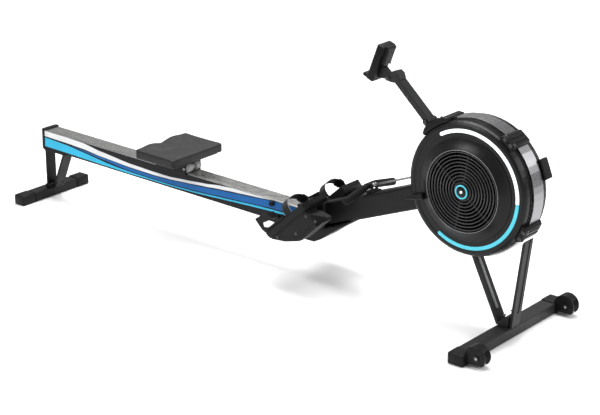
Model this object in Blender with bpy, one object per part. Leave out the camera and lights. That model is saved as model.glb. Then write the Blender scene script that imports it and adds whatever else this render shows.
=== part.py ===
"""Air rowing machine, built as an assembly of separate named sub-parts.

Metres, +Z up. +X points from the rower's seat to the flywheel, +Y to the rower's left.
The origin is on the floor, under the middle of the machine's length and width.
Every mesh is made in world coordinates; a piece that moves then gets its origin on its joint's axis.
"""

import math

import bmesh
import bpy
from mathutils import Matrix, Vector

# ---------------------------------------------------------------- driving dimensions
GAP = 0.0004                      # air between pieces that touch
HALF_LENGTH = 1.208               # the machine is 2.416 m long
REAR_FOOT_DEPTH = 0.057
REAR_FOOT_HALF_WIDTH = 0.189
REAR_CAP_START = 0.118
FRONT_FOOT_X = (1.0725, 1.136)
FRONT_FOOT_HALF_WIDTH = 0.322
FRONT_CAP_START = 0.258
FOOT_HEIGHT = 0.040
CAP_PROUD = 0.003
LEG_WIDTH = 0.050
LEG_THICKNESS = 0.0105

RAIL_REAR = Vector((-1.1745, 0.0, 0.2938))  # middle of the top edge at the rear end
RAIL_TILT = math.radians(1.0)     # the rail falls this much towards the flywheel
RAIL_LENGTH = 1.430
RAIL_WIDTH = 0.0716
RAIL_HEIGHT = 0.083
RAIL_WALL = 0.004
FRONT_STOP_ALONG = 1.2455         # from the rail's rear end to the stop's bolt

SEAT_X = -0.4390                  # middle of the seat at rest
SEAT_LENGTH = 0.205
SEAT_WIDTH = 0.290
SEAT_TOP = 0.366
PAD_THICKNESS = 0.036
ROLLER_RADIUS = 0.017
ROLLER_SPACING = 0.136

BEAM_TILT = math.radians(21.4)    # the beam rises this much towards the flywheel
BEAM_HEIGHT = 0.088
BEAM_WIDTH = 0.056
BEAM_LENGTH = 0.720               # from the flywheel's axis, before the end is cut upright
AXLE = Vector((0.9566, 0.0, 0.5189))
RIM_RADIUS = 0.2385
RIM_HALF_WIDTH = 0.070
BAND_RADIUS = 0.2465
BAND_HALF_WIDTH = 0.0295
FACE_INNER_RADIUS = 0.1725
BEZEL_RADIUS = 0.168
GRILLE_RADIUS = 0.144
GRILLE_Y = 0.092
LIGHT_RADIUS = 0.2070
LIGHT_WIDTH = 0.0145
AXLE_RADIUS = 0.008
SHELL = 0.003
CHAIN_OFFSET = 0.069              # from the axle to the chain's middle line

BOARD_ORIGIN = Vector((0.131, 0.0, 0.180))
BOARD_TILT = math.radians(42.0)
BOARD_INNER_Y = 0.0464
BOARD_OUTER_Y = 0.170
HOUSING_END = 0.3245              # where the rail housing meets the beam's lower end

WHEEL = Vector((1.177, 0.280, 0.0400))
WHEEL_RADIUS = 0.030
WHEEL_WIDTH = 0.022

MONITOR_PIVOT = Vector((0.5846, 0.0, 0.832))
MONITOR_TILT = math.radians(20.6)
ARM_TILT = math.radians(42.5)
ARM_WIDTH = 0.042
ARM_THICKNESS = 0.024
ARM_TOP = Vector((0.6155, 0.0, 0.8340))
TONGUE_HALF = 0.0110
ARM_PIVOT = 0.186                 # from the arm's top to the pin in its lower end

# ---------------------------------------------------------------- local frames


def tilted_frame(origin, tilt):
    """A frame at origin whose +X rises by tilt towards the flywheel."""
    return Matrix.Translation(origin) @ Matrix.Rotation(-tilt, 4, "Y")


RAIL_FRAME = tilted_frame(RAIL_REAR, -RAIL_TILT)
BEAM_FRAME = tilted_frame(AXLE, BEAM_TILT)      # its +X points away from the rower
BOARD_FRAME = tilted_frame(BOARD_ORIGIN, BOARD_TILT)
MONITOR_FRAME = Matrix.Translation(MONITOR_PIVOT) @ Matrix.Rotation(MONITOR_TILT, 4, "Y")
ARM_FRAME = Matrix.Translation(ARM_TOP) @ Matrix.Rotation(ARM_TILT, 4, "Y")
AXLE_FRAME = Matrix.Translation(AXLE)
AXLE_TO_Y = Matrix.Rotation(-math.pi / 2, 4, "X")  # turns +Z to +Y

# ---------------------------------------------------------------- materials


def make_material(name, colour, roughness, metallic=0.0):
    material = bpy.data.materials.new(name)
    material.use_nodes = True
    shader = material.node_tree.nodes["Principled BSDF"]
    shader.inputs["Base Color"].default_value = (*colour, 1.0)
    shader.inputs["Roughness"].default_value = roughness
    shader.inputs["Metallic"].default_value = metallic
    material.diffuse_color = (*colour, 1.0)
    return material


def make_materials():
    return {
        "frame_black": make_material("frame_black", (0.028, 0.028, 0.030), 0.42),
        "moulded_black": make_material("moulded_black", (0.020, 0.020, 0.022), 0.55),
        "rail_aluminium": make_material("rail_aluminium", (0.42, 0.42, 0.41), 0.32, 1.0),
        "band_steel": make_material("band_steel", (0.72, 0.72, 0.73), 0.24, 1.0),
        "grille_wire": make_material("grille_wire", (0.10, 0.10, 0.105), 0.35, 0.6),
        "steel": make_material("steel", (0.55, 0.55, 0.56), 0.30, 1.0),
        "rubber": make_material("rubber", (0.015, 0.015, 0.015), 0.80),
        "seat_foam": make_material("seat_foam", (0.045, 0.045, 0.047), 0.65),
        "strap_web": make_material("strap_web", (0.025, 0.025, 0.026), 0.85),
        "light_white": make_material("light_white", (0.90, 0.95, 0.96), 0.25),
        "light_cyan": make_material("light_cyan", (0.12, 0.72, 0.86), 0.25),
        "screen_glass": make_material("screen_glass", (0.02, 0.03, 0.035), 0.10),
        "fan_grey": make_material("fan_grey", (0.16, 0.16, 0.17), 0.45, 0.3),
    }


# ---------------------------------------------------------------- mesh tools


def clear_scene():
    for obj in list(bpy.data.objects):
        bpy.data.objects.remove(obj, do_unlink=True)


def finish_mesh(name, bm, frame=None, helper=False):
    """Turns bm into an object; its coordinates are taken through frame first."""
    bmesh.ops.remove_doubles(bm, verts=bm.verts, dist=1e-6)
    if frame is not None:
        bmesh.ops.transform(bm, matrix=frame, verts=bm.verts)
    bmesh.ops.recalc_face_normals(bm, faces=bm.faces)
    mesh = bpy.data.meshes.new(name)
    bm.to_mesh(mesh)
    bm.free()
    mesh.shade_smooth()
    mesh.set_sharp_from_angle(angle=math.radians(35))
    obj = bpy.data.objects.new(name, mesh)
    bpy.context.scene.collection.objects.link(obj)
    if helper:
        obj.hide_render = True
        obj.display_type = "WIRE"
    return obj


def give(obj, material, pivot=None):
    """Gives obj its material and, for a moving piece, puts its origin on the joint's axis."""
    obj.data.materials.append(material)
    if pivot is not None:
        obj.data.transform(Matrix.Translation(-Vector(pivot)))
        obj.location = pivot
    return obj


def block(name, low, high, bevel=0.0, frame=None, helper=False, segments=1):
    """A box between two corners, with its edges rounded by bevel."""
    bm = bmesh.new()
    low, high = Vector(low), Vector(high)
    size = Matrix.Diagonal((*(high - low), 1.0))
    bmesh.ops.create_cube(bm, size=1.0, matrix=Matrix.Translation((low + high) / 2) @ size)
    if bevel:
        bmesh.ops.bevel(bm, geom=bm.edges[:], offset=bevel, segments=segments, affect="EDGES", profile=0.5)
    return finish_mesh(name, bm, frame, helper)


def side_prism(name, outline, y_low, y_high, frame=None, bevel=0.0, helper=False):
    """A side-view outline of (x, z) points, extruded across the machine."""
    bm = bmesh.new()
    face = bm.faces.new([bm.verts.new((x, y_low, z)) for x, z in outline])
    grown = bmesh.ops.extrude_face_region(bm, geom=[face])
    moved = [item for item in grown["geom"] if isinstance(item, bmesh.types.BMVert)]
    bmesh.ops.translate(bm, vec=(0, y_high - y_low, 0), verts=moved)
    if bevel:
        rims = [edge for edge in bm.edges if abs(edge.verts[0].co.y - edge.verts[1].co.y) < 1e-6]
        bmesh.ops.bevel(bm, geom=rims, offset=bevel, segments=1, affect="EDGES", profile=0.5)
    return finish_mesh(name, bm, frame, helper)


def end_prism(name, outline, x_low, x_high, frame=None, helper=False):
    """An end-view outline of (y, z) points, extruded along the machine."""
    bm = bmesh.new()
    face = bm.faces.new([bm.verts.new((x_low, y, z)) for y, z in outline])
    grown = bmesh.ops.extrude_face_region(bm, geom=[face])
    moved = [item for item in grown["geom"] if isinstance(item, bmesh.types.BMVert)]
    bmesh.ops.translate(bm, vec=(x_high - x_low, 0, 0), verts=moved)
    return finish_mesh(name, bm, frame, helper)


def turned(name, profile, frame, steps, start=0.0, sweep=2 * math.pi, helper=False):
    """A closed outline of (radius, y) points, turned about the frame's Y axis."""
    bm = bmesh.new()
    ring = [bm.verts.new((r, y, 0)) for r, y in profile]
    edges = [bm.edges.new((ring[i - 1], ring[i])) for i in range(len(ring))]
    whole = abs(sweep - 2 * math.pi) < 1e-6
    geom = ring + edges
    if not whole:
        geom.append(bm.faces.new(ring))
    bmesh.ops.rotate(bm, cent=(0, 0, 0), matrix=Matrix.Rotation(-start, 3, "Y"), verts=ring)
    bmesh.ops.spin(
        bm, geom=geom, cent=(0, 0, 0), axis=(0, -1, 0), angle=sweep, steps=steps, use_merge=whole
    )
    bmesh.ops.remove_doubles(bm, verts=bm.verts, dist=1e-6)
    bmesh.ops.dissolve_degenerate(bm, edges=bm.edges, dist=1e-7)
    return finish_mesh(name, bm, frame, helper)


def drum(name, radius, y_low, y_high, frame, sides=32, bevel=0.0, helper=False):
    """A solid cylinder along the frame's Y axis."""
    bm = bmesh.new()
    place = Matrix.Translation((0, (y_low + y_high) / 2, 0)) @ AXLE_TO_Y
    bmesh.ops.create_cone(
        bm, cap_ends=True, segments=sides, radius1=radius,
        radius2=radius, depth=y_high - y_low, matrix=place
    )
    if bevel:
        rims = [edge for edge in bm.edges if abs(edge.verts[0].co.y - edge.verts[1].co.y) < 1e-6]
        bmesh.ops.bevel(bm, geom=rims, offset=bevel, segments=1, affect="EDGES", profile=0.5)
    return finish_mesh(name, bm, frame, helper)


def combine(obj, other, operation):
    """Joins other to obj, or cuts it away."""
    other.hide_render = True
    other.display_type = "WIRE"
    modifier = obj.modifiers.new(operation.lower() + "_" + other.name, "BOOLEAN")
    modifier.operation = operation
    modifier.solver = "EXACT"
    modifier.object = other
    return obj


def join(obj, *others):
    for other in others:
        combine(obj, other, "UNION")
    return obj


def cut(obj, *others):
    for other in others:
        combine(obj, other, "DIFFERENCE")
    return obj


def rounded_outline(half_width, low, high, radius, points=3):
    """A rectangle of (y, z) points with round corners."""
    outline = []
    corners = (
        (half_width - radius, high - radius, 0.0),
        (-half_width + radius, high - radius, 0.5),
        (-half_width + radius, low + radius, 1.0),
        (half_width - radius, low + radius, 1.5),
    )
    for y, z, turn in corners:
        for step in range(points + 1):
            angle = math.pi * (turn + 0.5 * step / points)
            outline.append((y + radius * math.cos(angle), z + radius * math.sin(angle)))
    return outline


def mirrored(name, side):
    return name + ("_left" if side > 0 else "_right")


def y_range(side, inner, outer):
    """The low and high Y of a piece between two distances from the middle plane, on one side."""
    return (inner, outer) if side > 0 else (-outer, -inner)


# ---------------------------------------------------------------- rear foot and stand


def make_rear_foot(materials):
    x_low = -HALF_LENGTH
    x_high = x_low + REAR_FOOT_DEPTH
    width = REAR_CAP_START - GAP
    bar = block(
        "rear_foot_bar", (x_low + 0.001, -width, 0.002), (x_high - 0.001, width, FOOT_HEIGHT), bevel=0.003
    )
    give(bar, materials["frame_black"])
    for side in (1, -1):
        y_low, y_high = y_range(side, REAR_CAP_START, REAR_FOOT_HALF_WIDTH)
        cap = block(
            mirrored("rear_foot_cap", side), (x_low, y_low, 0.0), (x_high, y_high, FOOT_HEIGHT + CAP_PROUD),
            bevel=0.006, segments=2,
        )
        give(cap, materials["moulded_black"])


def make_rear_stand(materials):
    """A vertical post and a slanted strut in a V, a base bracket and a flange under the rail."""
    half = LEG_WIDTH / 2
    rear_x = -1.185
    floor = FOOT_HEIGHT + GAP
    rail_bottom = RAIL_REAR.z - RAIL_HEIGHT - 0.0026
    stand = block(
        "rear_stand", (rear_x, -half, floor), (rear_x + LEG_THICKNESS, half, rail_bottom), bevel=0.002
    )
    foot_x = -1.1403
    top_x = -1.0706
    slope = (top_x - foot_x) / 0.165
    strut_half = LEG_THICKNESS / 2 / math.cos(math.atan(slope))
    top_z = rail_bottom - 0.001
    reach = slope * (top_z - 0.042)
    strut = side_prism(
        "rear_strut_part",
        (
            (foot_x - strut_half, floor + 0.001), (foot_x + strut_half, floor + 0.001),
            (foot_x + reach + strut_half, top_z), (foot_x + reach - strut_half, top_z),
        ),
        -half + 0.0005, half - 0.0005,
    )
    base = block(
        "rear_base_part", (rear_x + 0.001, -0.033, floor), (-1.1515, 0.033, floor + 0.014), bevel=0.003,
    )
    flange = side_prism(
        "rear_flange_part",
        (
            (rear_x + 0.002, rail_bottom - 0.004), (-1.052, rail_bottom - 0.006),
            (-1.052, rail_bottom - 0.0022), (rear_x + 0.002, rail_bottom),
        ),
        -0.034, 0.034,
    )
    join(stand, strut, base, flange)
    give(stand, materials["frame_black"])


# ---------------------------------------------------------------- rail


def make_rail(materials):
    half = RAIL_WIDTH / 2
    rail = end_prism(
        "slide_rail", rounded_outline(half, -RAIL_HEIGHT, 0.0, 0.004, 2), 0.0, RAIL_LENGTH, RAIL_FRAME,
    )
    hollow = end_prism(
        "rail_hollow",
        rounded_outline(half - RAIL_WALL, -RAIL_HEIGHT + RAIL_WALL, -RAIL_WALL, 0.003, 1),
        -0.02, RAIL_LENGTH + 0.02, RAIL_FRAME, helper=True,
    )
    cut(rail, hollow)
    give(rail, materials["rail_aluminium"])
    cap = block(
        "rail_end_cap", (-0.0100, -0.0385, -RAIL_HEIGHT - 0.0015), (-GAP, 0.0385, 0.004),
        bevel=0.003, frame=RAIL_FRAME, segments=2,
    )
    give(cap, materials["moulded_black"])
    return rail


def make_rail_stop(materials, rail):
    """A bolt across the rail with a round rubber stop on each side, ahead of the seat's cheeks."""
    frame = RAIL_FRAME @ Matrix.Translation((FRONT_STOP_ALONG, 0, -0.016))
    stop = drum("rail_front_stop", 0.0040, -0.040, 0.040, frame, sides=20)
    bore = drum("stop_bore", 0.0044, -0.1, 0.1, frame, sides=20, helper=True)
    cut(rail, bore)
    for side in (1, -1):
        y_low, y_high = y_range(side, RAIL_WIDTH / 2 + GAP, RAIL_WIDTH / 2 + 0.0125)
        button = drum(mirrored("stop_button", side), 0.0100, y_low, y_high, frame, sides=24, bevel=0.0015)
        join(stop, button)
    give(stop, materials["rubber"])


# ---------------------------------------------------------------- seat


def seat_frame():
    """On the rail's top at the middle of the seat, along the rail."""
    along = (SEAT_X - RAIL_REAR.x) / math.cos(RAIL_TILT)
    return RAIL_FRAME @ Matrix.Translation((along, 0, 0))


def make_seat(materials):
    frame = seat_frame()
    pivot = frame.translation
    top = SEAT_TOP - pivot.z
    pad_low = top - PAD_THICKNESS
    half_l = SEAT_LENGTH / 2
    half_w = SEAT_WIDTH / 2
    pad = block(
        "seat_pad", (-half_l, -half_w, pad_low),
        (half_l, half_w, top), bevel=0.012, frame=frame, segments=2,
    )
    give(pad, materials["seat_foam"], pivot)
    pan_high = pad_low - GAP
    pan_low = pan_high - 0.006
    carriage = block(
        "seat_carriage", (-half_l + 0.012, -half_w + 0.020, pan_low),
        (half_l - 0.012, half_w - 0.020, pan_high),
        bevel=0.0015, frame=frame,
    )
    cheek_inner = RAIL_WIDTH / 2 + 0.0035
    for side in (1, -1):
        y_low, y_high = y_range(side, cheek_inner, cheek_inner + 0.005)
        cheek = block(
            mirrored("seat_cheek", side), (-0.086, y_low, -0.010), (0.074, y_high, pan_low + 0.002),
            bevel=0.001, frame=frame,
        )
        join(carriage, cheek)
    for end in (1, -1):
        hole = drum(
            "seat_axle_hole", 0.0052, -0.06, 0.06,
            frame @ Matrix.Translation((end * ROLLER_SPACING / 2, 0, ROLLER_RADIUS + GAP)),
            sides=20, helper=True,
        )
        cut(carriage, hole)
    give(carriage, materials["moulded_black"], pivot)
    for end, name in ((1, "seat_roller_front"), (-1, "seat_roller_rear")):
        place = frame @ Matrix.Translation((end * ROLLER_SPACING / 2, 0, ROLLER_RADIUS + GAP))
        outline = (
            (0.0, -0.0375), (ROLLER_RADIUS, -0.0345), (ROLLER_RADIUS, -0.010), (0.009, -0.008),
            (0.009, 0.008), (ROLLER_RADIUS, 0.010), (ROLLER_RADIUS, 0.0345), (0.0, 0.0375),
        )
        roller = turned(name, outline, place, 28)
        spindle = drum(name + "_spindle", 0.0048, -0.0475, 0.0475, place, sides=16)
        join(roller, spindle)
        give(roller, materials["steel"], place.translation)


# ---------------------------------------------------------------- beam and rail housing


def make_beam(materials):
    end = -BAND_RADIUS - 0.004
    start = -BEAM_LENGTH
    half = BEAM_HEIGHT / 2
    beam = end_prism(
        "main_beam", rounded_outline(BEAM_WIDTH / 2, -half, half, 0.010, 3), start, end, BEAM_FRAME
    )
    foot_cut = block("beam_foot_cut", (0.0, -0.1, 0.0), (HOUSING_END + 0.0004, 0.1, 0.6), helper=True)
    rim_cut = drum("beam_rim_cut", BAND_RADIUS + 0.0006, -0.1, 0.1, AXLE_FRAME, sides=96, helper=True)
    wall = 0.003
    hollow = end_prism(
        "beam_hollow", rounded_outline(BEAM_WIDTH / 2 - wall, wall - half, half - wall, 0.007, 2),
        start - 0.1, end + 0.1, BEAM_FRAME, helper=True,
    )
    cut(beam, foot_cut, rim_cut, hollow)
    give(beam, materials["frame_black"])


def make_rail_housing(materials):
    """The casting that takes the rail's front end and carries the beam's lower end."""
    housing = side_prism(
        "rail_housing",
        (
            (0.196, 0.164), (0.240, 0.153), (0.276, 0.154), (0.305, 0.170), (0.352, 0.205), (0.430, 0.2580),
            (0.430, 0.2642), (HOUSING_END, 0.2229), (HOUSING_END, 0.3175), (0.300, 0.3050), (0.196, 0.284),
        ),
        -0.046, 0.046, bevel=0.004,
    )
    pocket = block(
        "rail_pocket", (1.30, -RAIL_WIDTH / 2 - GAP, -RAIL_HEIGHT - GAP),
        (RAIL_LENGTH + GAP, RAIL_WIDTH / 2 + GAP, GAP),
        frame=RAIL_FRAME, helper=True,
    )
    cut(housing, pocket)
    give(housing, materials["frame_black"])


# ---------------------------------------------------------------- footboards


def make_footboard(materials, side):
    """A sole flange on a deep moulded base; X of the board's frame runs up the sole to the toe."""
    y_low, y_high = y_range(side, BOARD_INNER_Y, BOARD_OUTER_Y)
    flange = (
        (0.0225, -0.001), (0.0220, -0.010), (0.0275, -0.0266),
        (0.258, -0.0266), (0.268, -0.018), (0.268, 0.0), (0.0260, 0.0),
    )
    board = side_prism(mirrored("footboard", side), flange, y_low, y_high, BOARD_FRAME, bevel=0.003)
    base = (
        (0.0280, -0.022), (0.0310, -0.033), (0.078, -0.0688),
        (0.142, -0.1018), (0.167, -0.1025), (0.285, -0.1005),
        (0.288, -0.093), (0.281, -0.082), (0.262, -0.056), (0.246, -0.038), (0.244, -0.022),
    )
    inset_low, inset_high = y_range(side, BOARD_INNER_Y + 0.055, BOARD_OUTER_Y - 0.004)
    lower = side_prism(
        mirrored("footboard_base", side), base, inset_low, inset_high, BOARD_FRAME, bevel=0.003,
    )
    corner = block(
        mirrored("toe_corner", side), (0.0, -0.1, -0.1), (0.1, 0.1, 0.1), helper=True,
        frame=BOARD_FRAME @ Matrix.Translation((0.250, side * BOARD_OUTER_Y, 0))
        @ Matrix.Rotation(side * math.radians(40.0), 4, "Z"),
    )
    join(board, lower)
    cut(board, corner)
    give(board, materials["moulded_black"])


def make_heel_cup(materials, side):
    """A sliding cup: a sole on the board, two side walls with a window, and a lip behind the heel."""
    y_low, y_high = y_range(side, BOARD_INNER_Y + 0.006, BOARD_OUTER_Y - 0.001)
    lift = 0.0005
    outline = (
        (0.0220, lift), (0.142, lift), (0.142, 0.0075), (0.104, 0.011), (0.089, 0.020), (0.074, 0.052),
        (0.046, 0.063), (0.0155, 0.0665), (0.0130, 0.0630), (0.0130, 0.040), (0.0150, 0.019),
    )
    cup = side_prism(mirrored("heel_cup", side), outline, y_low, y_high, BOARD_FRAME, bevel=0.0015)
    hollow = side_prism(
        mirrored("heel_hollow", side),
        ((0.0290, 0.0055), (0.25, 0.0055), (0.25, 0.20),
         (-0.05, 0.20), (0.0180, 0.090), (0.0185, 0.040), (0.0205, 0.019)),
        y_low + 0.005, y_high - 0.005, BOARD_FRAME, helper=True,
    )
    window = side_prism(
        mirrored("heel_window", side),
        ((0.036, 0.0365), (0.030, 0.022), (0.048, 0.0095),
         (0.090, 0.0095), (0.082, 0.018), (0.066, 0.0335), (0.052, 0.038)),
        y_low - 0.05, y_high + 0.05, BOARD_FRAME, helper=True,
    )
    inner_low, inner_high = y_range(side, BOARD_INNER_Y - 0.02, BOARD_INNER_Y + 0.020)
    inner_trim = side_prism(
        mirrored("heel_inner_trim", side),
        ((0.030, 0.042), (0.060, 0.018), (0.30, 0.014),
         (0.30, 0.20), (-0.10, 0.20), (-0.10, 0.050), (0.012, 0.050)),
        inner_low, inner_high, BOARD_FRAME, helper=True,
    )
    back_low, back_high = y_range(side, BOARD_INNER_Y + 0.020, BOARD_OUTER_Y - 0.016)
    back_window = block(
        mirrored("heel_back_window", side), (-0.030, back_low, 0.0100), (0.030, back_high, 0.0400),
        frame=BOARD_FRAME, helper=True,
    )
    cut(cup, hollow, window, inner_trim, back_window)
    give(cup, materials["moulded_black"], BOARD_FRAME @ Vector((0.06, (y_low + y_high) / 2, 0.0)))


STRAP_ALONG = 0.170
STRAP_WIDTH = 0.036


def make_foot_strap(materials, side):
    """A webbing arch over the foot, standing on the board's two edges."""
    middle = side * (BOARD_INNER_Y + BOARD_OUTER_Y) / 2
    half = (BOARD_OUTER_Y - BOARD_INNER_Y) / 2 - 0.0035
    thick = 0.0025
    outer = []
    inner = []
    steps = 14
    for step in range(steps + 1):
        angle = math.pi * step / steps
        lift = 0.014 + 0.043 * math.sin(angle) ** 0.8
        outer.append((middle + half * math.cos(angle), lift))
        inner.append((middle + (half - thick) * math.cos(angle), lift - thick * math.sin(angle)))
    base = 0.0005
    outline = [(middle + half, base)] + outer + [(middle - half, base)]
    outline += [(middle - half + thick, base)] + inner[::-1] + [(middle + half - thick, base)]
    strap = end_prism(
        mirrored("foot_strap", side), outline,
        STRAP_ALONG - STRAP_WIDTH / 2, STRAP_ALONG + STRAP_WIDTH / 2, BOARD_FRAME
    )
    give(strap, materials["strap_web"])


# ---------------------------------------------------------------- flywheel casing


def shell_profile(side, groove):
    """One casing shell's section: a rim beside the band, a round shoulder and a flat face."""
    rim = BAND_HALF_WIDTH + GAP
    face = RIM_HALF_WIDTH
    outside = [
        (RIM_RADIUS, rim), (RIM_RADIUS, face - 0.013),
        (RIM_RADIUS - 0.004, face - 0.005), (RIM_RADIUS - 0.013, face),
    ]
    if groove:
        outer = LIGHT_RADIUS + LIGHT_WIDTH / 2 + GAP
        inner = LIGHT_RADIUS - LIGHT_WIDTH / 2 - GAP
        depth = face - 0.0015
        outside += [(outer, face), (outer, depth), (inner, depth), (inner, face)]
    outside.append((FACE_INNER_RADIUS, face))
    inside = [
        (FACE_INNER_RADIUS, face - SHELL - 0.001), (RIM_RADIUS - 0.015, face - SHELL - 0.001),
        (RIM_RADIUS - SHELL, face - 0.015), (RIM_RADIUS - SHELL, rim),
    ]
    return [(r, side * y) for r, y in outside + inside]


def make_casing(materials):
    near = turned("casing_near", shell_profile(-1, True), AXLE_FRAME, 64)
    give(near, materials["moulded_black"])
    far = turned("casing_far", shell_profile(1, False), AXLE_FRAME, 64)
    give(far, materials["moulded_black"])
    lip = 0.0035
    profile = [
        (BAND_RADIUS, -BAND_HALF_WIDTH), (BAND_RADIUS, BAND_HALF_WIDTH),
        (RIM_RADIUS - 0.002, BAND_HALF_WIDTH),
        (RIM_RADIUS - 0.002, BAND_HALF_WIDTH - lip), (BAND_RADIUS - lip, BAND_HALF_WIDTH - lip),
        (BAND_RADIUS - lip, -BAND_HALF_WIDTH + lip), (RIM_RADIUS - 0.002, -BAND_HALF_WIDTH + lip),
        (RIM_RADIUS - 0.002, -BAND_HALF_WIDTH),
    ]
    band = turned("casing_band", profile, AXLE_FRAME, 64)
    slot = block(
        "chain_slot", (-0.27, -0.0080, CHAIN_OFFSET - 0.012), (-0.20, 0.0080, CHAIN_OFFSET + 0.012),
        frame=BEAM_FRAME, helper=True,
    )
    cut(band, slot)
    give(band, materials["band_steel"])


def make_light_arcs(materials):
    """A C-shaped light in the near face, in a white length and a cyan length."""
    inner = LIGHT_RADIUS - LIGHT_WIDTH / 2
    outer = LIGHT_RADIUS + LIGHT_WIDTH / 2
    back = -RIM_HALF_WIDTH + 0.0015 - GAP
    front = -RIM_HALF_WIDTH - 0.0010
    profile = [(inner, back), (outer, back), (outer, front), (inner, front)]
    arcs = (
        ("light_arc_upper", -1.5, 124.5, "light_white", 34),
        ("light_arc_lower", -121.5, -1.8, "light_cyan", 32),
    )
    for name, start, end, slot, steps in arcs:
        arc = turned(
            name, profile, AXLE_FRAME, steps, start=math.radians(start), sweep=math.radians(end - start)
        )
        give(arc, materials[slot])


def polar_grille(name, rings, sectors, spokes, thickness, side, frame):
    """A cage of ring bands and spokes: a polar grid of faces with the air gaps left out, made thick.

    rings holds (radius, depth) pairs; every second space between them is a ring band.
    """
    bm = bmesh.new()
    grid = []
    for radius, depth in rings:
        row = []
        for step in range(sectors):
            angle = 2 * math.pi * step / sectors
            row.append(bm.verts.new((radius * math.cos(angle), side * depth, radius * math.sin(angle))))
        grid.append(row)
    for i in range(len(rings) - 1):
        for step in range(sectors):
            if i % 2 == 0 or step in spokes:
                after = (step + 1) % sectors
                bm.faces.new((grid[i][step], grid[i + 1][step], grid[i + 1][after], grid[i][after]))
    faces = bm.faces[:]
    grown = bmesh.ops.extrude_face_region(bm, geom=faces, use_keep_orig=True)
    moved = [item for item in grown["geom"] if isinstance(item, bmesh.types.BMVert)]
    bmesh.ops.translate(bm, vec=(0, -side * thickness, 0), verts=moved)
    loose = [vert for vert in bm.verts if not vert.link_faces]
    bmesh.ops.delete(bm, geom=loose, context="VERTS")
    return finish_mesh(name, bm, frame)


def make_grilles(materials):
    """A conical bezel, ring wires, spokes and a hub boss on each face of the casing."""
    hub = 0.030
    count = 5
    step = (GRILLE_RADIUS - hub) / (count + 0.5)
    rings = [(BEZEL_RADIUS + 0.002, RIM_HALF_WIDTH + 0.0012), (GRILLE_RADIUS, GRILLE_Y)]
    for index in range(count):
        outer = GRILLE_RADIUS - step * (index + 0.62)
        rings += [(outer, GRILLE_Y), (outer - step * 0.38, GRILLE_Y)]
    rings += [(hub, GRILLE_Y), (AXLE_RADIUS + 0.0062, GRILLE_Y)]
    sectors = 40
    spokes = (4, 16, 24, 36)
    for side, name in ((-1, "grille_near"), (1, "grille_far")):
        grille = polar_grille(name, rings, sectors, spokes, 0.004, side, AXLE_FRAME)
        give(grille, materials["grille_wire"])


def make_hub(materials):
    """The axle, its two bearings in the grilles' hubs, and a ringed cap on the near end."""
    bearing_depth = 0.006
    for side, name in ((-1, "axle_bearing_near"), (1, "axle_bearing_far")):
        low, high = y_range(side, GRILLE_Y - bearing_depth, GRILLE_Y - 0.0002)
        ring = [
            (AXLE_RADIUS + 0.0002, low), (AXLE_RADIUS + 0.0058, low), (AXLE_RADIUS + 0.0058, high),
            (AXLE_RADIUS + 0.0002, high),
        ]
        bearing = turned(name, ring, AXLE_FRAME, 32)
        give(bearing, materials["steel"])
    axle = drum("main_axle", AXLE_RADIUS, -GRILLE_Y + 0.0002, GRILLE_Y - 0.0002, AXLE_FRAME, sides=32)
    give(axle, materials["steel"], AXLE)
    outline = (
        (0.0, -GRILLE_Y - GAP), (0.028, -GRILLE_Y - GAP),
        (0.028, -GRILLE_Y - 0.006), (0.022, -GRILLE_Y - 0.0085),
        (0.014, -GRILLE_Y - 0.0085), (0.012, -GRILLE_Y - 0.006), (0.0, -GRILLE_Y - 0.006),
    )
    cap = turned("hub_cap", outline, AXLE_FRAME, 36)
    give(cap, materials["light_cyan"])


def make_flywheel(materials):
    """A back disc with straight radial fan blades on its near side."""
    blades = 20
    inner = 0.058
    outer = 0.196
    half = 0.0014
    outline = []
    for index in range(blades):
        angle = 2 * math.pi * index / blades
        side_angle = half / inner
        gap_angle = 2 * math.pi / blades
        outline.append((outer * math.cos(angle - half / outer), outer * math.sin(angle - half / outer)))
        outline.append((outer * math.cos(angle + half / outer), outer * math.sin(angle + half / outer)))
        outline.append((inner * math.cos(angle + side_angle), inner * math.sin(angle + side_angle)))
        turn = angle + gap_angle - side_angle
        outline.append((inner * math.cos(turn), inner * math.sin(turn)))
    wheel = side_prism("flywheel", outline, -0.060, -0.0215, AXLE_FRAME)
    disc = drum("flywheel_disc", 0.200, -0.024, -0.016, AXLE_FRAME, sides=64, helper=True)
    bore = drum("flywheel_bore", AXLE_RADIUS + GAP, -0.1, 0.1, AXLE_FRAME, sides=32, helper=True)
    join(wheel, disc)
    cut(wheel, bore)
    give(wheel, materials["fan_grey"], AXLE)


def toothed_outline(teeth, root, tip):
    outline = []
    for index in range(teeth):
        for share, radius in ((0.0, root), (0.30, root), (0.42, tip), (0.58, tip)):
            angle = 2 * math.pi * (index + share) / teeth
            outline.append((radius * math.cos(angle), radius * math.sin(angle)))
    return outline


def make_sprockets(materials):
    """The chain's one-way sprocket on the axle."""
    sprocket = side_prism(
        "drive_sprocket", toothed_outline(32, CHAIN_OFFSET - 0.0085, CHAIN_OFFSET - 0.0055),
        -0.0035, 0.0035, AXLE_FRAME
    )
    hub = drum("sprocket_hub", 0.024, -0.013, 0.020, AXLE_FRAME, sides=32, helper=True)
    bore = drum("sprocket_bore", AXLE_RADIUS + GAP, -0.1, 0.1, AXLE_FRAME, sides=32, helper=True)
    join(sprocket, hub)
    cut(sprocket, bore)
    give(sprocket, materials["steel"], AXLE)


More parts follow.
